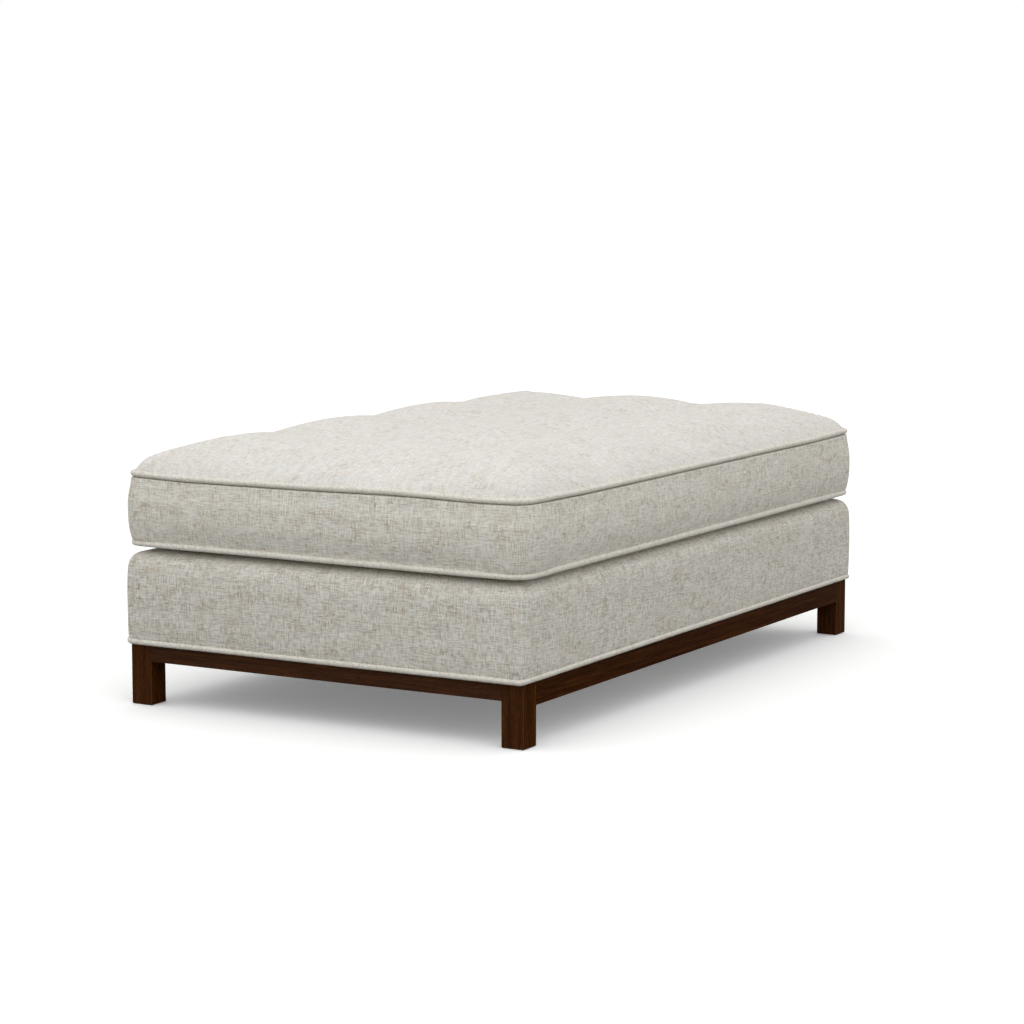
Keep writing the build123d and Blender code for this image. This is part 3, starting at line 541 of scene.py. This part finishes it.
def solid_material(name, dark, light, scale, rough, strength=0.2, **plain):
    """A plain stuff with mottled tone and a fine surface."""
    s = Shader(name)
    place = s.coordinates("Object")
    mottle = s.noise(place, scale, 3.0, 4.0, 0.6)
    fine = s.noise(place, [12 * n for n in scale], 7.0)
    colour = s.ramp(mottle, [(0.35, dark), (0.65, light)])
    s.bump(s.math("ADD", mottle, fine), strength, 0.0005)
    return s.finish(colour, s.span(fine, 0.3, 0.7, rough - 0.08, rough + 0.08), **plain)


linen = linen_material(
    "linen_cloth", spread=0.305, broad=0.19, patchy=0.12, flecked=0.8, tint=(1.010, 1.010, 1.015)
)
# The box cover's copy of the linen is painted darker: painted shade for its lower faces, which take less
# light than the cushion's
box_linen_painted_shade = linen_material(
    "linen_cloth_box_painted_shade", spread=0.256, broad=0.17, patchy=0.20, flecked=0.85, tint=(0.939, 0.941, 0.952)
)
top_linen = linen_material(
    "linen_cloth_top", spread=0.57, broad=0.06, patchy=0.08, flecked=0.45, tint=(1.010, 1.016, 1.072),
    gloss=0.04, sheen=0.0,
)
cord_linen = linen_material(
    "linen_cloth_cord", spread=0.44, broad=0.20, patchy=0.08, flecked=0.2, tint=(1.01, 1.01, 1.02)
)
wood_x = wood_material("dark_wood_along_x", 0, tint=(0.88, 0.80, 0.55), painted_sheen=0.1)
wood_y = wood_material("dark_wood_along_y", 1, tint=(1.12, 1.0, 0.8), painted_sheen=0.22)
wood_z = wood_material("dark_wood_upright", 2, tint=(1.2, 1.15, 0.8), painted_sheen=0.11)


def dress(name, material):
    """Gives a CAD node its material."""
    node = nodes[name]
    node.data.materials.clear()
    node.data.materials.append(material)


EASED_WIDTH = 0.0006


def eased(name):
    """A fine bevel on a CAD node's edges."""
    bevel = nodes[name].modifiers.new("eased", "BEVEL")
    bevel.width = EASED_WIDTH
    bevel.segments = 2
    bevel.limit_method = "ANGLE"
    bevel.angle_limit = math.radians(35)


# Wooden base
for side in ("front", "back"):
    for end in ("left", "right"):
        dress(f"leg_{side}_{end}", wood_z)
        eased(f"leg_{side}_{end}")
    dress(f"base_rail_{side}", wood_x)
    eased(f"base_rail_{side}")
for end in ("left", "right"):
    dress(f"base_rail_{end}", wood_y)
    eased(f"base_rail_{end}")

# Inner frame and hardware
PALE_WOOD = (0.40, 0.25, 0.12), (0.58, 0.41, 0.23)
pale_wood_x = solid_material("pale_wood_along_x", *PALE_WOOD, (4, 90, 90), 0.7)
pale_wood_y = solid_material("pale_wood_along_y", *PALE_WOOD, (90, 4, 90), 0.7)
for name in ("frame_rail_front", "frame_rail_back", "base_corner_blocks", "frame_corner_blocks"):
    dress(name, pale_wood_x)
for name in (
    "frame_rail_left",
    "frame_rail_right",
    "frame_cross_rail_left",
    "frame_cross_rail_right",
    "base_stretcher",
):
    dress(name, pale_wood_y)

zinc = solid_material(
    "zinc_plate", (0.42, 0.42, 0.40), (0.60, 0.60, 0.58), (300, 300, 300), 0.38, 0.08, Metallic=1.0
)
for name in ("box_bolts", "tee_nuts"):
    dress(name, zinc)
glide = solid_material("glide_nylon", (0.03, 0.027, 0.024), (0.05, 0.046, 0.04), (200, 200, 200), 0.5)
for name in ("leg_glides", "tuft_discs"):
    dress(name, glide)
zip_metal = solid_material(
    "zip_metal", (0.45, 0.44, 0.42), (0.62, 0.61, 0.59), (500, 500, 500), 0.3, 0.05, Metallic=1.0
)
for name in ("zip_slider", "zip_pull", "zip_stops"):
    dress(name, zip_metal)
twine = solid_material("waxed_twine", (0.5, 0.45, 0.36), (0.66, 0.61, 0.5), (900, 900, 300), 0.8)
dress("tuft_twines", twine)

# Box: cover, welt, deck and dust cover
BOX_CENTRE = 0.007
BOX_WELT_HEIGHT = 0.1200
# The profile's point beside the welt
FOOT_POINT = 20
box_rows, box_length = stations(BOX_CENTRE, 18)
box_profile = smooth_profile(
    [
        (-34, 115.2), (-20, 115.2), (-6, 115.2), (-3.4, 115.8), (-2.6, 117.6), (-1, 119.8), (1.8, 121.6),
        (4.6, 123), (6.4, 124.8), (7.2, 127.2), (7.7, 131.5), (8.3, 142), (8.7, 165), (8.8, 195), (8.6, 222),
        (8.1, 238), (7.4, 251), (6.2, 261), (4.3, 268), (1.2, 274), (-3.3, 279.5), (-8, 283.3),
        (-13, 285.8), (-19, 287.4), (-27, 288.7), (-38, 290), (-50, 290.8), (-57, 291), (-60.5, 290.7),
        (-62, 289.6),
    ],
    3,
)
outset = np.repeat(box_profile[None, :, 0], len(box_rows), axis=0)
height = np.repeat(box_profile[None, :, 1], len(box_rows), axis=0)
# The ends are fuller than the long sides, most of all at the shoulder
_, end_side = side_share(box_rows)
fuller_heights = [
    0.120, 0.125, 0.130, 0.142, 0.155, 0.200, 0.236, 0.248, 0.256, 0.264, 0.272, 0.279, 0.2835, 0.2860,
    0.2875, 0.2888, 0.2903,
]
fuller = [0, -0.8, -0.7, 0.4, 0.9, 1.5, 1.8, 1.7, 1.3, 0.7, 0.6, 1.4, 2.4, 2.9, 2.9, 2.0, 0]
fuller = np.interp(box_profile[:, 1], fuller_heights, fuller) * MM
outset = outset + end_side[:, None] * fuller[None, :]
# The welt was sewn on higher along the length than at the ends
foot_lift = 0.0021 * box_rows[:, 3] ** 2 - 0.0008 * box_rows[:, 2] ** 2
at_foot = fade(box_profile[:, 1], 0.1165, 0.1185) * fade(box_profile[:, 1], 0.150, 0.128)
height = height + foot_lift[:, None] * at_foot[None, :]
plain = round_plan(box_rows, BOX_CENTRE, outset, height)
# Away from its edges the cloth is uneven, and at the corners it has a shallow groove
loose = fade(box_profile[:, 1], 0.124, 0.144) * fade(box_profile[:, 1], 0.2905, 0.2705)
outset = outset + loose[None, :] * (0.0009 * ripple(plain, 7, 1) + 0.0004 * ripple(plain, 22, 2))
diagonal = np.abs(np.abs(box_rows[:, 2]) - np.abs(box_rows[:, 3]))
at_corner = (np.abs(box_rows[:, 2]) > 0.01) & (np.abs(box_rows[:, 3]) > 0.01)
groove = np.where(at_corner, bell(diagonal, 0.07), 0.0)
outset = outset - 0.0011 * groove[:, None] * loose[None, :]
box_points = round_plan(box_rows, BOX_CENTRE, outset, height)
box_cover = band_mesh("box_cover_linen", box_rows, box_length, box_points, closed=True)
box_welt = welt_mesh(
    "box_welt_linen", box_rows, box_length, BOX_CENTRE, outset=0.0046,
    height=BOX_WELT_HEIGHT + foot_lift + 0.0003 * ripple(plain[:, FOOT_POINT], 6, 5), radius=0.0053,
    seed=6,
)

# Cushion: boxing and welts
CUSHION_CENTRE = 0.031
LOWER_SEAM, UPPER_SEAM = 0.3025, 0.4305
# Places further to the left than this belong to the left end
LEFT_END = -0.6
cushion_rows, cushion_length = stations(CUSHION_CENTRE, 12)


def seam_sag(points):
    """How far the upper seam lies below its corners. In front at the left end it is held up."""
    x = np.abs(points[..., 0]) / HALF_LENGTH
    y = np.abs(points[..., 1]) / HALF_WIDTH
    along = np.minimum(x, y)
    middle = fade(along, 1, 0.65)
    middle = middle * middle * (3 - 2 * middle)
    held_up = 0.0036 * bell(points[..., 1] + 0.18, 0.14) * (points[..., 0] < LEFT_END)
    return middle * (0.0025 + 0.0012 * ripple(points, 3.1, 9) - held_up)


band_profile = smooth_profile(
    [
        (3.5, 304), (5.6, 306.4), (7.3, 309), (8.8, 312.6), (10.2, 317.5), (11.9, 325), (13.3, 334),
        (14.2, 342), (14.7, 352), (14.9, 364), (14.7, 376), (14.1, 386), (12.8, 394), (11.2, 402),
        (9.6, 410), (8.5, 416), (7.9, 420), (7.6, 422.6), (7.0, 424.4), (5.4, 425.4), (3.2, 425.8),
        (1.2, 426.1), (-0.6, 427), (-1.6, 429.5),
    ],
    3,
)


def band_points(rows, profile):
    """The boxing's surface at stations round the plan, turned in where it ends at the zip."""
    out, up = profile[:, 0], profile[:, 1]
    from_end = np.minimum(rows[:, 4], rows[-1, 4] - rows[:, 4])
    outset = out[None, :] - 0.0022 * bell(from_end, 0.0016)[:, None]
    height = np.repeat(up[None, :], len(rows), axis=0)
    # Away from the corners the band is rounder below its middle, most of all at the ends
    long_side, end_side = side_share(rows)
    heights = [0.304, 0.309, 0.3125, 0.318, 0.326, 0.334, 0.344, 0.352]
    round_off = np.interp(up, heights, [1.2, 3.3, 3.6, 3.1, 2.5, 1.4, 0.4, 0]) * MM
    outset = outset - (end_side + 0.3 * long_side)[:, None] * round_off[None, :]
    # Above its middle it is more upright, most of all along the length
    drawn_in = np.maximum(0.0147 - out, 0) * (up > 0.370) * (out > 0.0058) * fade(up, 0.4256, 0.4236)
    outset = outset + (0.38 * long_side + 0.15 * end_side)[:, None] * drawn_in[None, :]
    plain = round_plan(rows, CUSHION_CENTRE, outset, height)
    # Its upper part follows the seam, its middle is uneven, and both seams pucker it
    rise = (up - LOWER_SEAM) / (UPPER_SEAM - LOWER_SEAM)
    height = height - seam_sag(plain[:, -1:]) * (np.clip(rise, 0, 1)[None, :] ** 3)
    free = np.sin(np.clip(rise, 0, 1) * math.pi)
    outset = outset + free[None, :] * (0.0011 * ripple(plain, 6, 12) + 0.0004 * ripple(plain, 20, 13))
    pucker = bell(rise - 0.93, 0.07) + bell(rise - 0.07, 0.07)
    outset = outset + 0.0005 * pucker[None, :] * ripple(plain * np.array([1, 1, 0.2]), 60, 14)
    return round_plan(rows, CUSHION_CENTRE, outset, height)


def closer_ends(rows):
    """Stations of an open run with extra ones near both of its ends."""
    length = rows[-1, 4]
    extra = [0.001, 0.002, 0.0035, 0.006]
    places = np.sort(np.concatenate([rows[:, 4], extra, length - np.array(extra)]))
    return np.stack([np.interp(places, rows[:, 4], rows[:, k]) for k in range(5)], axis=-1)


# Half the length of the zipped panel
PANEL_HALF = 0.560
strip_rows, strip_length = stations(CUSHION_CENTRE, 12, cut=PANEL_HALF)
strip_rows = closer_ends(strip_rows)
boxing = band_mesh("boxing_linen", strip_rows, strip_length, band_points(strip_rows, band_profile))

# Zipped half strips at the back, their hems turned in to the tape
ZIP_HEIGHT = 0.3665
TAPE_OUTSET = 0.008
panel_x = np.linspace(PANEL_HALF, -PANEL_HALF, 95)
back = np.ones_like(panel_x)
panel_rows = np.stack(
    [panel_x / (HALF_LENGTH - CUSHION_CENTRE), back, 0 * back, back, PANEL_HALF - panel_x], axis=-1
)
panel_rows = closer_ends(panel_rows)
fold = np.array(
    [
        (14.9, -11), (14.9, -9), (14.7, -7.9), (14.2, -7.3), (13.2, -7.0), (11.6, -7.1), (9.8, -7.4),
        (8.3, -7.6),
    ]
) * MM
lower_half = np.vstack([band_profile[band_profile[:, 1] < 0.353], fold + [0, ZIP_HEIGHT]])
upper_half = np.vstack([(fold * [1, -1] + [0, ZIP_HEIGHT])[::-1], band_profile[band_profile[:, 1] > 0.380]])
zip_lower = band_mesh("zip_boxing_lower_linen", panel_rows, 0, band_points(panel_rows, lower_half))
zip_upper = band_mesh("zip_boxing_upper_linen", panel_rows, 0, band_points(panel_rows, upper_half))


def stitches(name, x_places, outset, height, length):
    """A row of stitches along the back of the cushion, as small rounded bars half sunk in the cloth."""
    ring = np.array([(-0.25, -0.35), (0.28, -0.22), (0.36, 0.0), (0.28, 0.22), (-0.25, 0.35)]) * MM
    # Along the stitch, how proud of the cloth it stands, and how wide it is there
    sections = [(-0.5, 0.0, 0.5), (-0.3, 1.0, 1.0), (0.3, 1.0, 1.0), (0.5, 0.0, 0.5)]
    verts, faces = [], []
    for x in x_places:
        base = len(verts)
        for along, proud, wide in sections:
            for out, up in ring:
                out = out * wide + (proud - 1) * 0.0003
                verts.append((x + along * length, HALF_WIDTH + outset + out, height + up * wide))
        faces += tube_faces(base, len(sections), len(ring))
    return add_mesh(name, verts, faces)


STITCH_PITCH = 0.0035
STITCH_LENGTH = 0.0027
STITCH_ROW = 0.0112
stitch_places = np.arange(-0.5565, 0.5566, STITCH_PITCH)
stitch_rows = [
    stitches(f"zip_topstitch_{row}", stitch_places, 0.0150, ZIP_HEIGHT + side * STITCH_ROW, STITCH_LENGTH)
    for row, side in (("lower", -1), ("upper", 1))
]

# Zip: two halves of woven tape with the coil between them
tape_x = np.linspace(-PANEL_HALF + 0.0005, PANEL_HALF - 0.0005, 113)
tape_z = np.array([-14.8, -10, -6, -3.2, -1.2, -0.5, 0.5, 1.2, 3.2, 6, 10, 14.8]) * MM
tape_y = np.array([-0.2, -0.1, 0, 0.1, 0.0, -0.6, -0.6, 0.0, 0.1, 0, -0.1, -0.2]) * MM
tape_points = np.stack(np.broadcast_arrays(
    tape_x[::-1, None],
    HALF_WIDTH + TAPE_OUTSET - 0.0003 + tape_y[None, :],
    ZIP_HEIGHT + tape_z[None, :],
), axis=-1)
tape_points[..., 1] += 0.0001 * ripple(tape_points, 40, 51)
tape_uv = np.stack(np.broadcast_arrays(tape_x[::-1, None], tape_z[None, :]), axis=-1)
zip_tape = grid_mesh("zip_tape_cloth", tape_points, tape_uv)


def coil_turns(pitch, half_length, wire_radius):
    """The nylon coil: turns from both sides that hook into each other over the middle."""
    path = np.array([(3.0, 0.55), (2.5, 1.75), (0.9, 1.95), (-0.75, 1.7), (-0.9, 0.8)]) * MM
    ring = np.array([(math.cos(a), math.sin(a)) for a in np.arange(5) * 2 * math.pi / 5]) * wire_radius
    directions = np.gradient(path, axis=0)
    directions /= np.linalg.norm(directions, axis=1)[:, None]
    verts, faces = [], []
    for side in (1, -1):
        places = np.arange(-half_length, half_length, pitch) + (0 if side == 1 else pitch / 2)
        for x in places:
            base = len(verts)
            for (up, out), (du, do) in zip(path, directions):
                for a, b in ring:
                    y = HALF_WIDTH + TAPE_OUTSET + out + b * du
                    verts.append((x + a, y, ZIP_HEIGHT + side * (up - b * do)))
            faces += tube_faces(base, len(path), len(ring))
    return add_mesh("zip_coil", verts, faces)


zip_coil = coil_turns(pitch=0.0016, half_length=0.5475, wire_radius=0.00034)

# Cushion's welts, which at the left end lie a little lower in front
seam_height = np.full((len(cushion_rows), 1), UPPER_SEAM)
seam_line = round_plan(cushion_rows, CUSHION_CENTRE, -0.0013, seam_height)[:, 0]
near_left = np.clip(-(seam_line[:, 1] + 0.06) / 0.25, -1, 1) * (seam_line[:, 0] < LEFT_END)
long_side, end_side = side_share(cushion_rows)
welt_upper = welt_mesh(
    "cushion_welt_upper_linen", cushion_rows, cushion_length, CUSHION_CENTRE,
    outset=0.0038 + 0.0018 * long_side + 0.0006 * end_side,
    height=UPPER_SEAM + 0.0021 - seam_sag(seam_line) - 0.0006 * np.clip(near_left, 0, 1),
    radius=0.0052, seed=21,
)
welt_lower = welt_mesh(
    "cushion_welt_lower_linen", cushion_rows, cushion_length, CUSHION_CENTRE, outset=0.004,
    height=LOWER_SEAM + 0.0004 * ripple(seam_line, 5, 25) - 0.0011 * near_left - 0.0002 * end_side,
    radius=0.0050 + 0.0009 * long_side + 0.0002 * end_side, seed=27,
)

# Cushion top
TUFT_SPACING_X, TUFT_SPACING_Y = 0.344, 0.280
TUFTS = [(x * TUFT_SPACING_X, y * TUFT_SPACING_Y) for x in (-1, 0, 1) for y in (-0.5, 0.5)]
TOP_OUTSET = 0.0010
TOP_SEAM = 0.4349
# The crown's rise by the distance in from its edge, both in millimetres
CROWN_STEPS = [0, 2, 5, 9, 13, 18, 24, 34, 48, 60, 72, 88, 105, 126, 150]
CROWN_RISES = [0, 3.9, 8.6, 13.6, 17.8, 22.3, 26.6, 32.0, 37.9, 42.1, 46.1, 51.4, 56.6, 61.8, 64.4]
# The crown's height over its seam, and how deep its valleys across and along and its tufts are
CROWN_HEIGHT = 0.0622
ACROSS_DEPTH, ALONG_DEPTH, TUFT_DEPTH = 0.0105, 0.013, 0.0145
DIMPLE_WIDTH = 0.045
# How much slacker the crown is, round which place, and over what width
SLACK_PLACES = [
    (0.17, HALF_LENGTH, -HALF_WIDTH, 0.26),
    (0.09, 0.54, 0.30, 0.15),
    (0.06, -0.58, 0.32, 0.10),
    (0.035, 0.56, 0.06, 0.17),
]


def valley(wave):
    """1 on a valley's floor, where the wave is zero, and less beside it."""
    return 1 - np.sqrt(wave**2 + 0.02) + math.sqrt(0.02)


def crown_height(x, y):
    """Height of the crown above its seam, at arrays of places."""
    rise = smooth_steps(edge_distance(x, y, TOP_OUTSET) / MM, CROWN_STEPS, CROWN_RISES) / CROWN_RISES[-1]
    # Behind the tufts the valleys across the cushion swing a little to the left
    across = x + 0.030 * fade(y, TUFT_SPACING_Y / 2, TUFT_SPACING_Y)
    column = valley(np.sin(math.pi * across / TUFT_SPACING_X))
    column = np.where(np.abs(across) > 1.5 * TUFT_SPACING_X, 0, column)
    row = valley(np.cos(math.pi * y / TUFT_SPACING_Y))
    row = np.where(np.abs(y) > TUFT_SPACING_Y, 0, row)
    dimple = np.zeros_like(x)
    for tx, ty in TUFTS:
        dimple = np.maximum(dimple, np.exp(-np.hypot(x - tx, y - ty) / DIMPLE_WIDTH))
    # Some pillows at the corners and at the right end are slacker, and the back row is fuller
    fullness = 1 + 0.032 * bell(y - 0.28, 0.12) * fade(x, -0.45, -0.35) * fade(x, 0.50, 0.35)
    for slack, slack_x, slack_y, width in SLACK_PLACES:
        fullness = fullness - slack * bell(np.hypot(x - slack_x, y - slack_y), width)
    height = CROWN_HEIGHT - ACROSS_DEPTH * column - ALONG_DEPTH * row - TUFT_DEPTH * dimple
    return rise * fullness * height


def top_surface(lines):
    """The top before it swells, over a grid of places."""
    x, y = panel_places(lines, TOP_OUTSET)
    lift = crown_height(x, y)
    points = np.stack([x, y, TOP_SEAM + lift], axis=-1)
    points[..., 2] -= seam_sag(points) * fade(lift, 0.05, 0)
    return points


top_edge = [0, 0.001, 0.0035, 0.0075, 0.013, 0.020, 0.028, 0.037, 0.047, 0.058, 0.070]
TOP_STEP = 0.0115
top_lines = panel_lines(TOP_OUTSET, top_edge, TOP_STEP)
top_points = top_surface(top_lines)
top_x, top_y = top_points[..., 0], top_points[..., 1]

# The cloth swells between its seam and its tufts, on a coarser grid that carries its moves over
cloth_lines = panel_lines(TOP_OUTSET, [0, 0.011, 0.022, 0.033], TOP_STEP)
cloth_points = top_surface(cloth_lines)
cloth_x, cloth_y = cloth_points[..., 0], cloth_points[..., 1]
to_edge = edge_distance(cloth_x, cloth_y, TOP_OUTSET)
held = (to_edge < 0.002) * 1.0
for tx, ty in TUFTS:
    held = np.maximum(held, np.hypot(cloth_x - tx, cloth_y - ty) < 0.010)
cloth_move = swollen(cloth_points, held, pressure=1.2, cap=0.006, slack=0.006)
cloth_move = cloth_move * fade(to_edge, 0, 0.055)[..., None]
top_points = top_points + carried(cloth_move, cloth_lines, top_lines)


def cloth_place(place, half):
    """Where a place on the top lies on its flat cloth, the steep edge let out to its length."""
    steep = CROWN_STEPS[-1] * MM
    inside = np.clip(half - np.abs(place), 0, steep)
    fine = np.linspace(0, steep, 601)
    heights = smooth_steps(fine / MM, CROWN_STEPS, CROWN_RISES) * MM
    lengths = np.concatenate([[0], np.cumsum(np.hypot(np.diff(fine), np.diff(heights)))])
    extra = (lengths[-1] - steep) - (np.interp(inside, fine, lengths) - inside)
    return np.sign(place) * (np.abs(place) + extra)


weave_x = cloth_place(top_x, HALF_LENGTH + TOP_OUTSET)
weave_y = cloth_place(top_y, HALF_WIDTH + TOP_OUTSET)
top = grid_mesh("cushion_top_linen", top_points, np.stack([weave_x, weave_y], axis=-1))

# Cushion bottom: swells down from its seam to lie flat on the deck
BOTTOM_OUTSET = -0.0014
bottom_edge = [0, 0.002, 0.005, 0.009, 0.014, 0.021, 0.029, 0.038, 0.048, 0.060]
bottom_lines = panel_lines(BOTTOM_OUTSET, bottom_edge, 0.02)
bottom_x, bottom_y = panel_places(bottom_lines, BOTTOM_OUTSET)
bottom_height = smooth_steps(
    edge_distance(bottom_x, bottom_y, BOTTOM_OUTSET) / MM,
    [0, 2, 5, 9, 14, 20, 28, 36, 46, 60],
    [302.2, 300.0, 298.0, 296.3, 294.9, 293.7, 292.6, 291.9, 291.5, 291.45],
) * MM
bottom_points = np.stack([bottom_x, bottom_y, bottom_height], axis=-1)
bottom_points[..., 2] += 0.00012 * (1 + ripple(bottom_points, 9, 61))
bottom = grid_mesh("cushion_bottom_linen", bottom_points, bottom_points[..., :2], flip=True)


def flat_cloth(name, setback, height, edge_lift, seed, flip=False):
    """A level rectangle of cloth, a little uneven, its edge lifted or let down to its seam."""
    half_x, half_y = HALF_LENGTH - setback, HALF_WIDTH - setback
    lines = []
    for half in (half_x, half_y):
        inner = half - 0.030
        middle = np.linspace(-inner, inner, round(2 * inner / 0.025) + 1)
        low = -half + np.array([0, 0.0012, 0.003, 0.006, 0.011, 0.018])
        lines.append(np.concatenate([low, middle, -low[::-1]]))
    x, y = np.meshgrid(*lines, indexing="ij")
    inside = np.minimum(half_x - np.abs(x), half_y - np.abs(y))
    points = np.stack([x, y, height + edge_lift * np.exp(-inside / 0.0022)], axis=-1)
    points[..., 2] += 0.0002 * ripple(points, 6, seed) + 0.00008 * ripple(points, 21, seed + 1)
    return grid_mesh(name, points, points[..., :2], flip=flip)


deck = flat_cloth("deck_cloth_lining", setback=0.062, height=0.2907, edge_lift=-0.0013, seed=71)
dust = flat_cloth(
    "dust_cover_cambric", setback=0.033, height=0.1153, edge_lift=0.0005, seed=75, flip=True
)

# Each piece gets its material, and rides on its body
lining = cloth_material("deck_lining", (0.50, 0.46, 0.39), (0.66, 0.62, 0.55), 0.0009)
cambric = cloth_material("black_cambric", (0.016, 0.016, 0.017), (0.034, 0.034, 0.036), 0.0007)
tape_weave = cloth_material("zip_tape_weave", (0.40, 0.37, 0.31), (0.54, 0.50, 0.43), 0.0006)
coil_nylon = solid_material("coil_nylon", (0.44, 0.40, 0.33), (0.54, 0.50, 0.42), (400, 400, 400), 0.38)
stitch_thread = solid_material(
    "stitch_thread", (0.60, 0.56, 0.48), (0.74, 0.70, 0.62), (900, 900, 900), 0.7
)
made = [
    (box_cover, "ottoman_base", "linen", box_linen_painted_shade),
    (box_welt, "ottoman_base", "linen", cord_linen),
    (deck, "ottoman_base", "lining", lining),
    (dust, "ottoman_base", "cambric", cambric),
    (boxing, "cushion", "linen", linen),
    (zip_lower, "cushion", "linen", linen),
    (zip_upper, "cushion", "linen", linen),
    (bottom, "cushion", "linen", linen),
    (welt_upper, "cushion", "linen", cord_linen),
    (welt_lower, "cushion", "linen", cord_linen),
    (top, "cushion", "linen", top_linen),
    (zip_tape, "cushion", "zip_tape", tape_weave),
    (zip_coil, "cushion", "zip_nylon", coil_nylon),
    (stitch_rows[0], "cushion", "twine", stitch_thread),
    (stitch_rows[1], "cushion", "twine", stitch_thread),
]
for piece, body, slot, material in made:
    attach(piece, body)
    piece.data.materials.append(material)
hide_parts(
    "box_cover",
    *[f"{part}_{side}" for part in ("side_pad", "edge_roll") for side in ("front", "back", "left", "right")],
)
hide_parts("box_welt")
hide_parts("boxing_strip", "cushion_core")
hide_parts("cushion_welt_upper")
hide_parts("cushion_welt_lower")
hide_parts("cushion_top_panel", "cushion_crown")
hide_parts("cushion_bottom_panel")
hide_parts("zip_boxing_lower")
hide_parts("zip_boxing_upper")
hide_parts("zip_tape")
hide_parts("zip_chain")
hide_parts("deck_cloth", "deck_pad")
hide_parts("dust_cover")
webbing = solid_material("jute_webbing", (0.36, 0.25, 0.12), (0.50, 0.37, 0.20), (180, 180, 180), 0.9)
for name in ("webbing_lengthwise", "webbing_crosswise"):
    dress(name, webbing)

def background_rays(tree):
    """1 for rays from the camera and for what metal and glass show, otherwise 0."""
    rays = node_in(tree, "ShaderNodeLightPath", {}).outputs
    seen = rays["Is Camera Ray"]
    for kind in ("Is Glossy Ray", "Is Transmission Ray"):
        seen = node_in(tree, "ShaderNodeMath", {0: seen, 1: rays[kind]}, operation="MAXIMUM").outputs[0]
    return seen


# Floor: it looks white, and throws less light back at the ottoman than white would
FLOOR_SEEN = (1.0, 1.0, 1.0, 1)
FLOOR_TO_OTHERS = (0.24, 0.24, 0.24, 1)
FLOOR_GLOW = 0.19
FLOOR_HALF = 30
floor_corners = [(x * FLOOR_HALF, y * FLOOR_HALF, 0) for x, y in ((-1, -1), (1, -1), (1, 1), (-1, 1))]
floor = add_mesh("floor", floor_corners, [(0, 1, 2, 3)])
floor_white = bpy.data.materials.new("floor_white")
floor_white.use_nodes = True
tree = floor_white.node_tree
tree.nodes.clear()
seen = background_rays(tree)
shades = {MIX_FACTOR: seen, MIX_A: FLOOR_TO_OTHERS, MIX_B: FLOOR_SEEN}
shade = node_in(tree, "ShaderNodeMix", shades, data_type="RGBA").outputs[MIXED]
diffuse = node_in(tree, "ShaderNodeBsdfDiffuse", {"Color": shade}).outputs[0]
strength = node_in(tree, "ShaderNodeMath", {0: seen, 1: FLOOR_GLOW}, operation="MULTIPLY").outputs[0]
glow = node_in(tree, "ShaderNodeEmission", {"Strength": strength}).outputs[0]
both = node_in(tree, "ShaderNodeAddShader", {0: diffuse, 1: glow}).outputs[0]
node_in(tree, "ShaderNodeOutputMaterial", {0: both})
floor.data.materials.append(floor_white)

# World: even light from all sides, and a plain white backdrop
WORLD_LIGHT, WORLD_WHITE = 0.93, 1.0
world = bpy.data.worlds.new("studio")
scene.world = world
world.use_nodes = True
tree = world.node_tree
tree.nodes.clear()
light, white = [
    node_in(tree, "ShaderNodeBackground", {"Color": (1, 1, 1, 1), "Strength": strength}).outputs[0]
    for strength in (WORLD_LIGHT, WORLD_WHITE)
]
mixed = node_in(tree, "ShaderNodeMixShader", {0: background_rays(tree), 1: light, 2: white}).outputs[0]
node_in(tree, "ShaderNodeOutputWorld", {0: mixed})

# Lamp: large and soft, from above on the left
LAMP_PLACE = Vector((-1.7, -0.5, 2.3))
LAMP_TARGET = Vector((-0.3, 0, 0.35))
lamp = bpy.data.lights.new("key", "AREA")
lamp.shape = "DISK"
lamp.size = 2.3
lamp.energy = 7.6
lamp_object = bpy.data.objects.new("key", lamp)
lamp_object.location = LAMP_PLACE
lamp_object.rotation_euler = (LAMP_PLACE - LAMP_TARGET).to_track_quat("Z", "Y").to_euler()
lamp_object.visible_camera = False
scene.collection.objects.link(lamp_object)

scene.view_settings.view_transform = "Standard"

# Camera, as solved from the base's corners in the photo
camera = bpy.data.cameras.new("camera")
camera.lens = 103.52
camera.sensor_width = 36
camera_object = bpy.data.objects.new("camera", camera)
camera_object.location = (-5.0098, -2.8875, 1.0720)
camera_object.rotation_euler = (math.radians(82.485), 0, math.radians(-60.046))
scene.collection.objects.link(camera_object)
scene.camera = camera_object
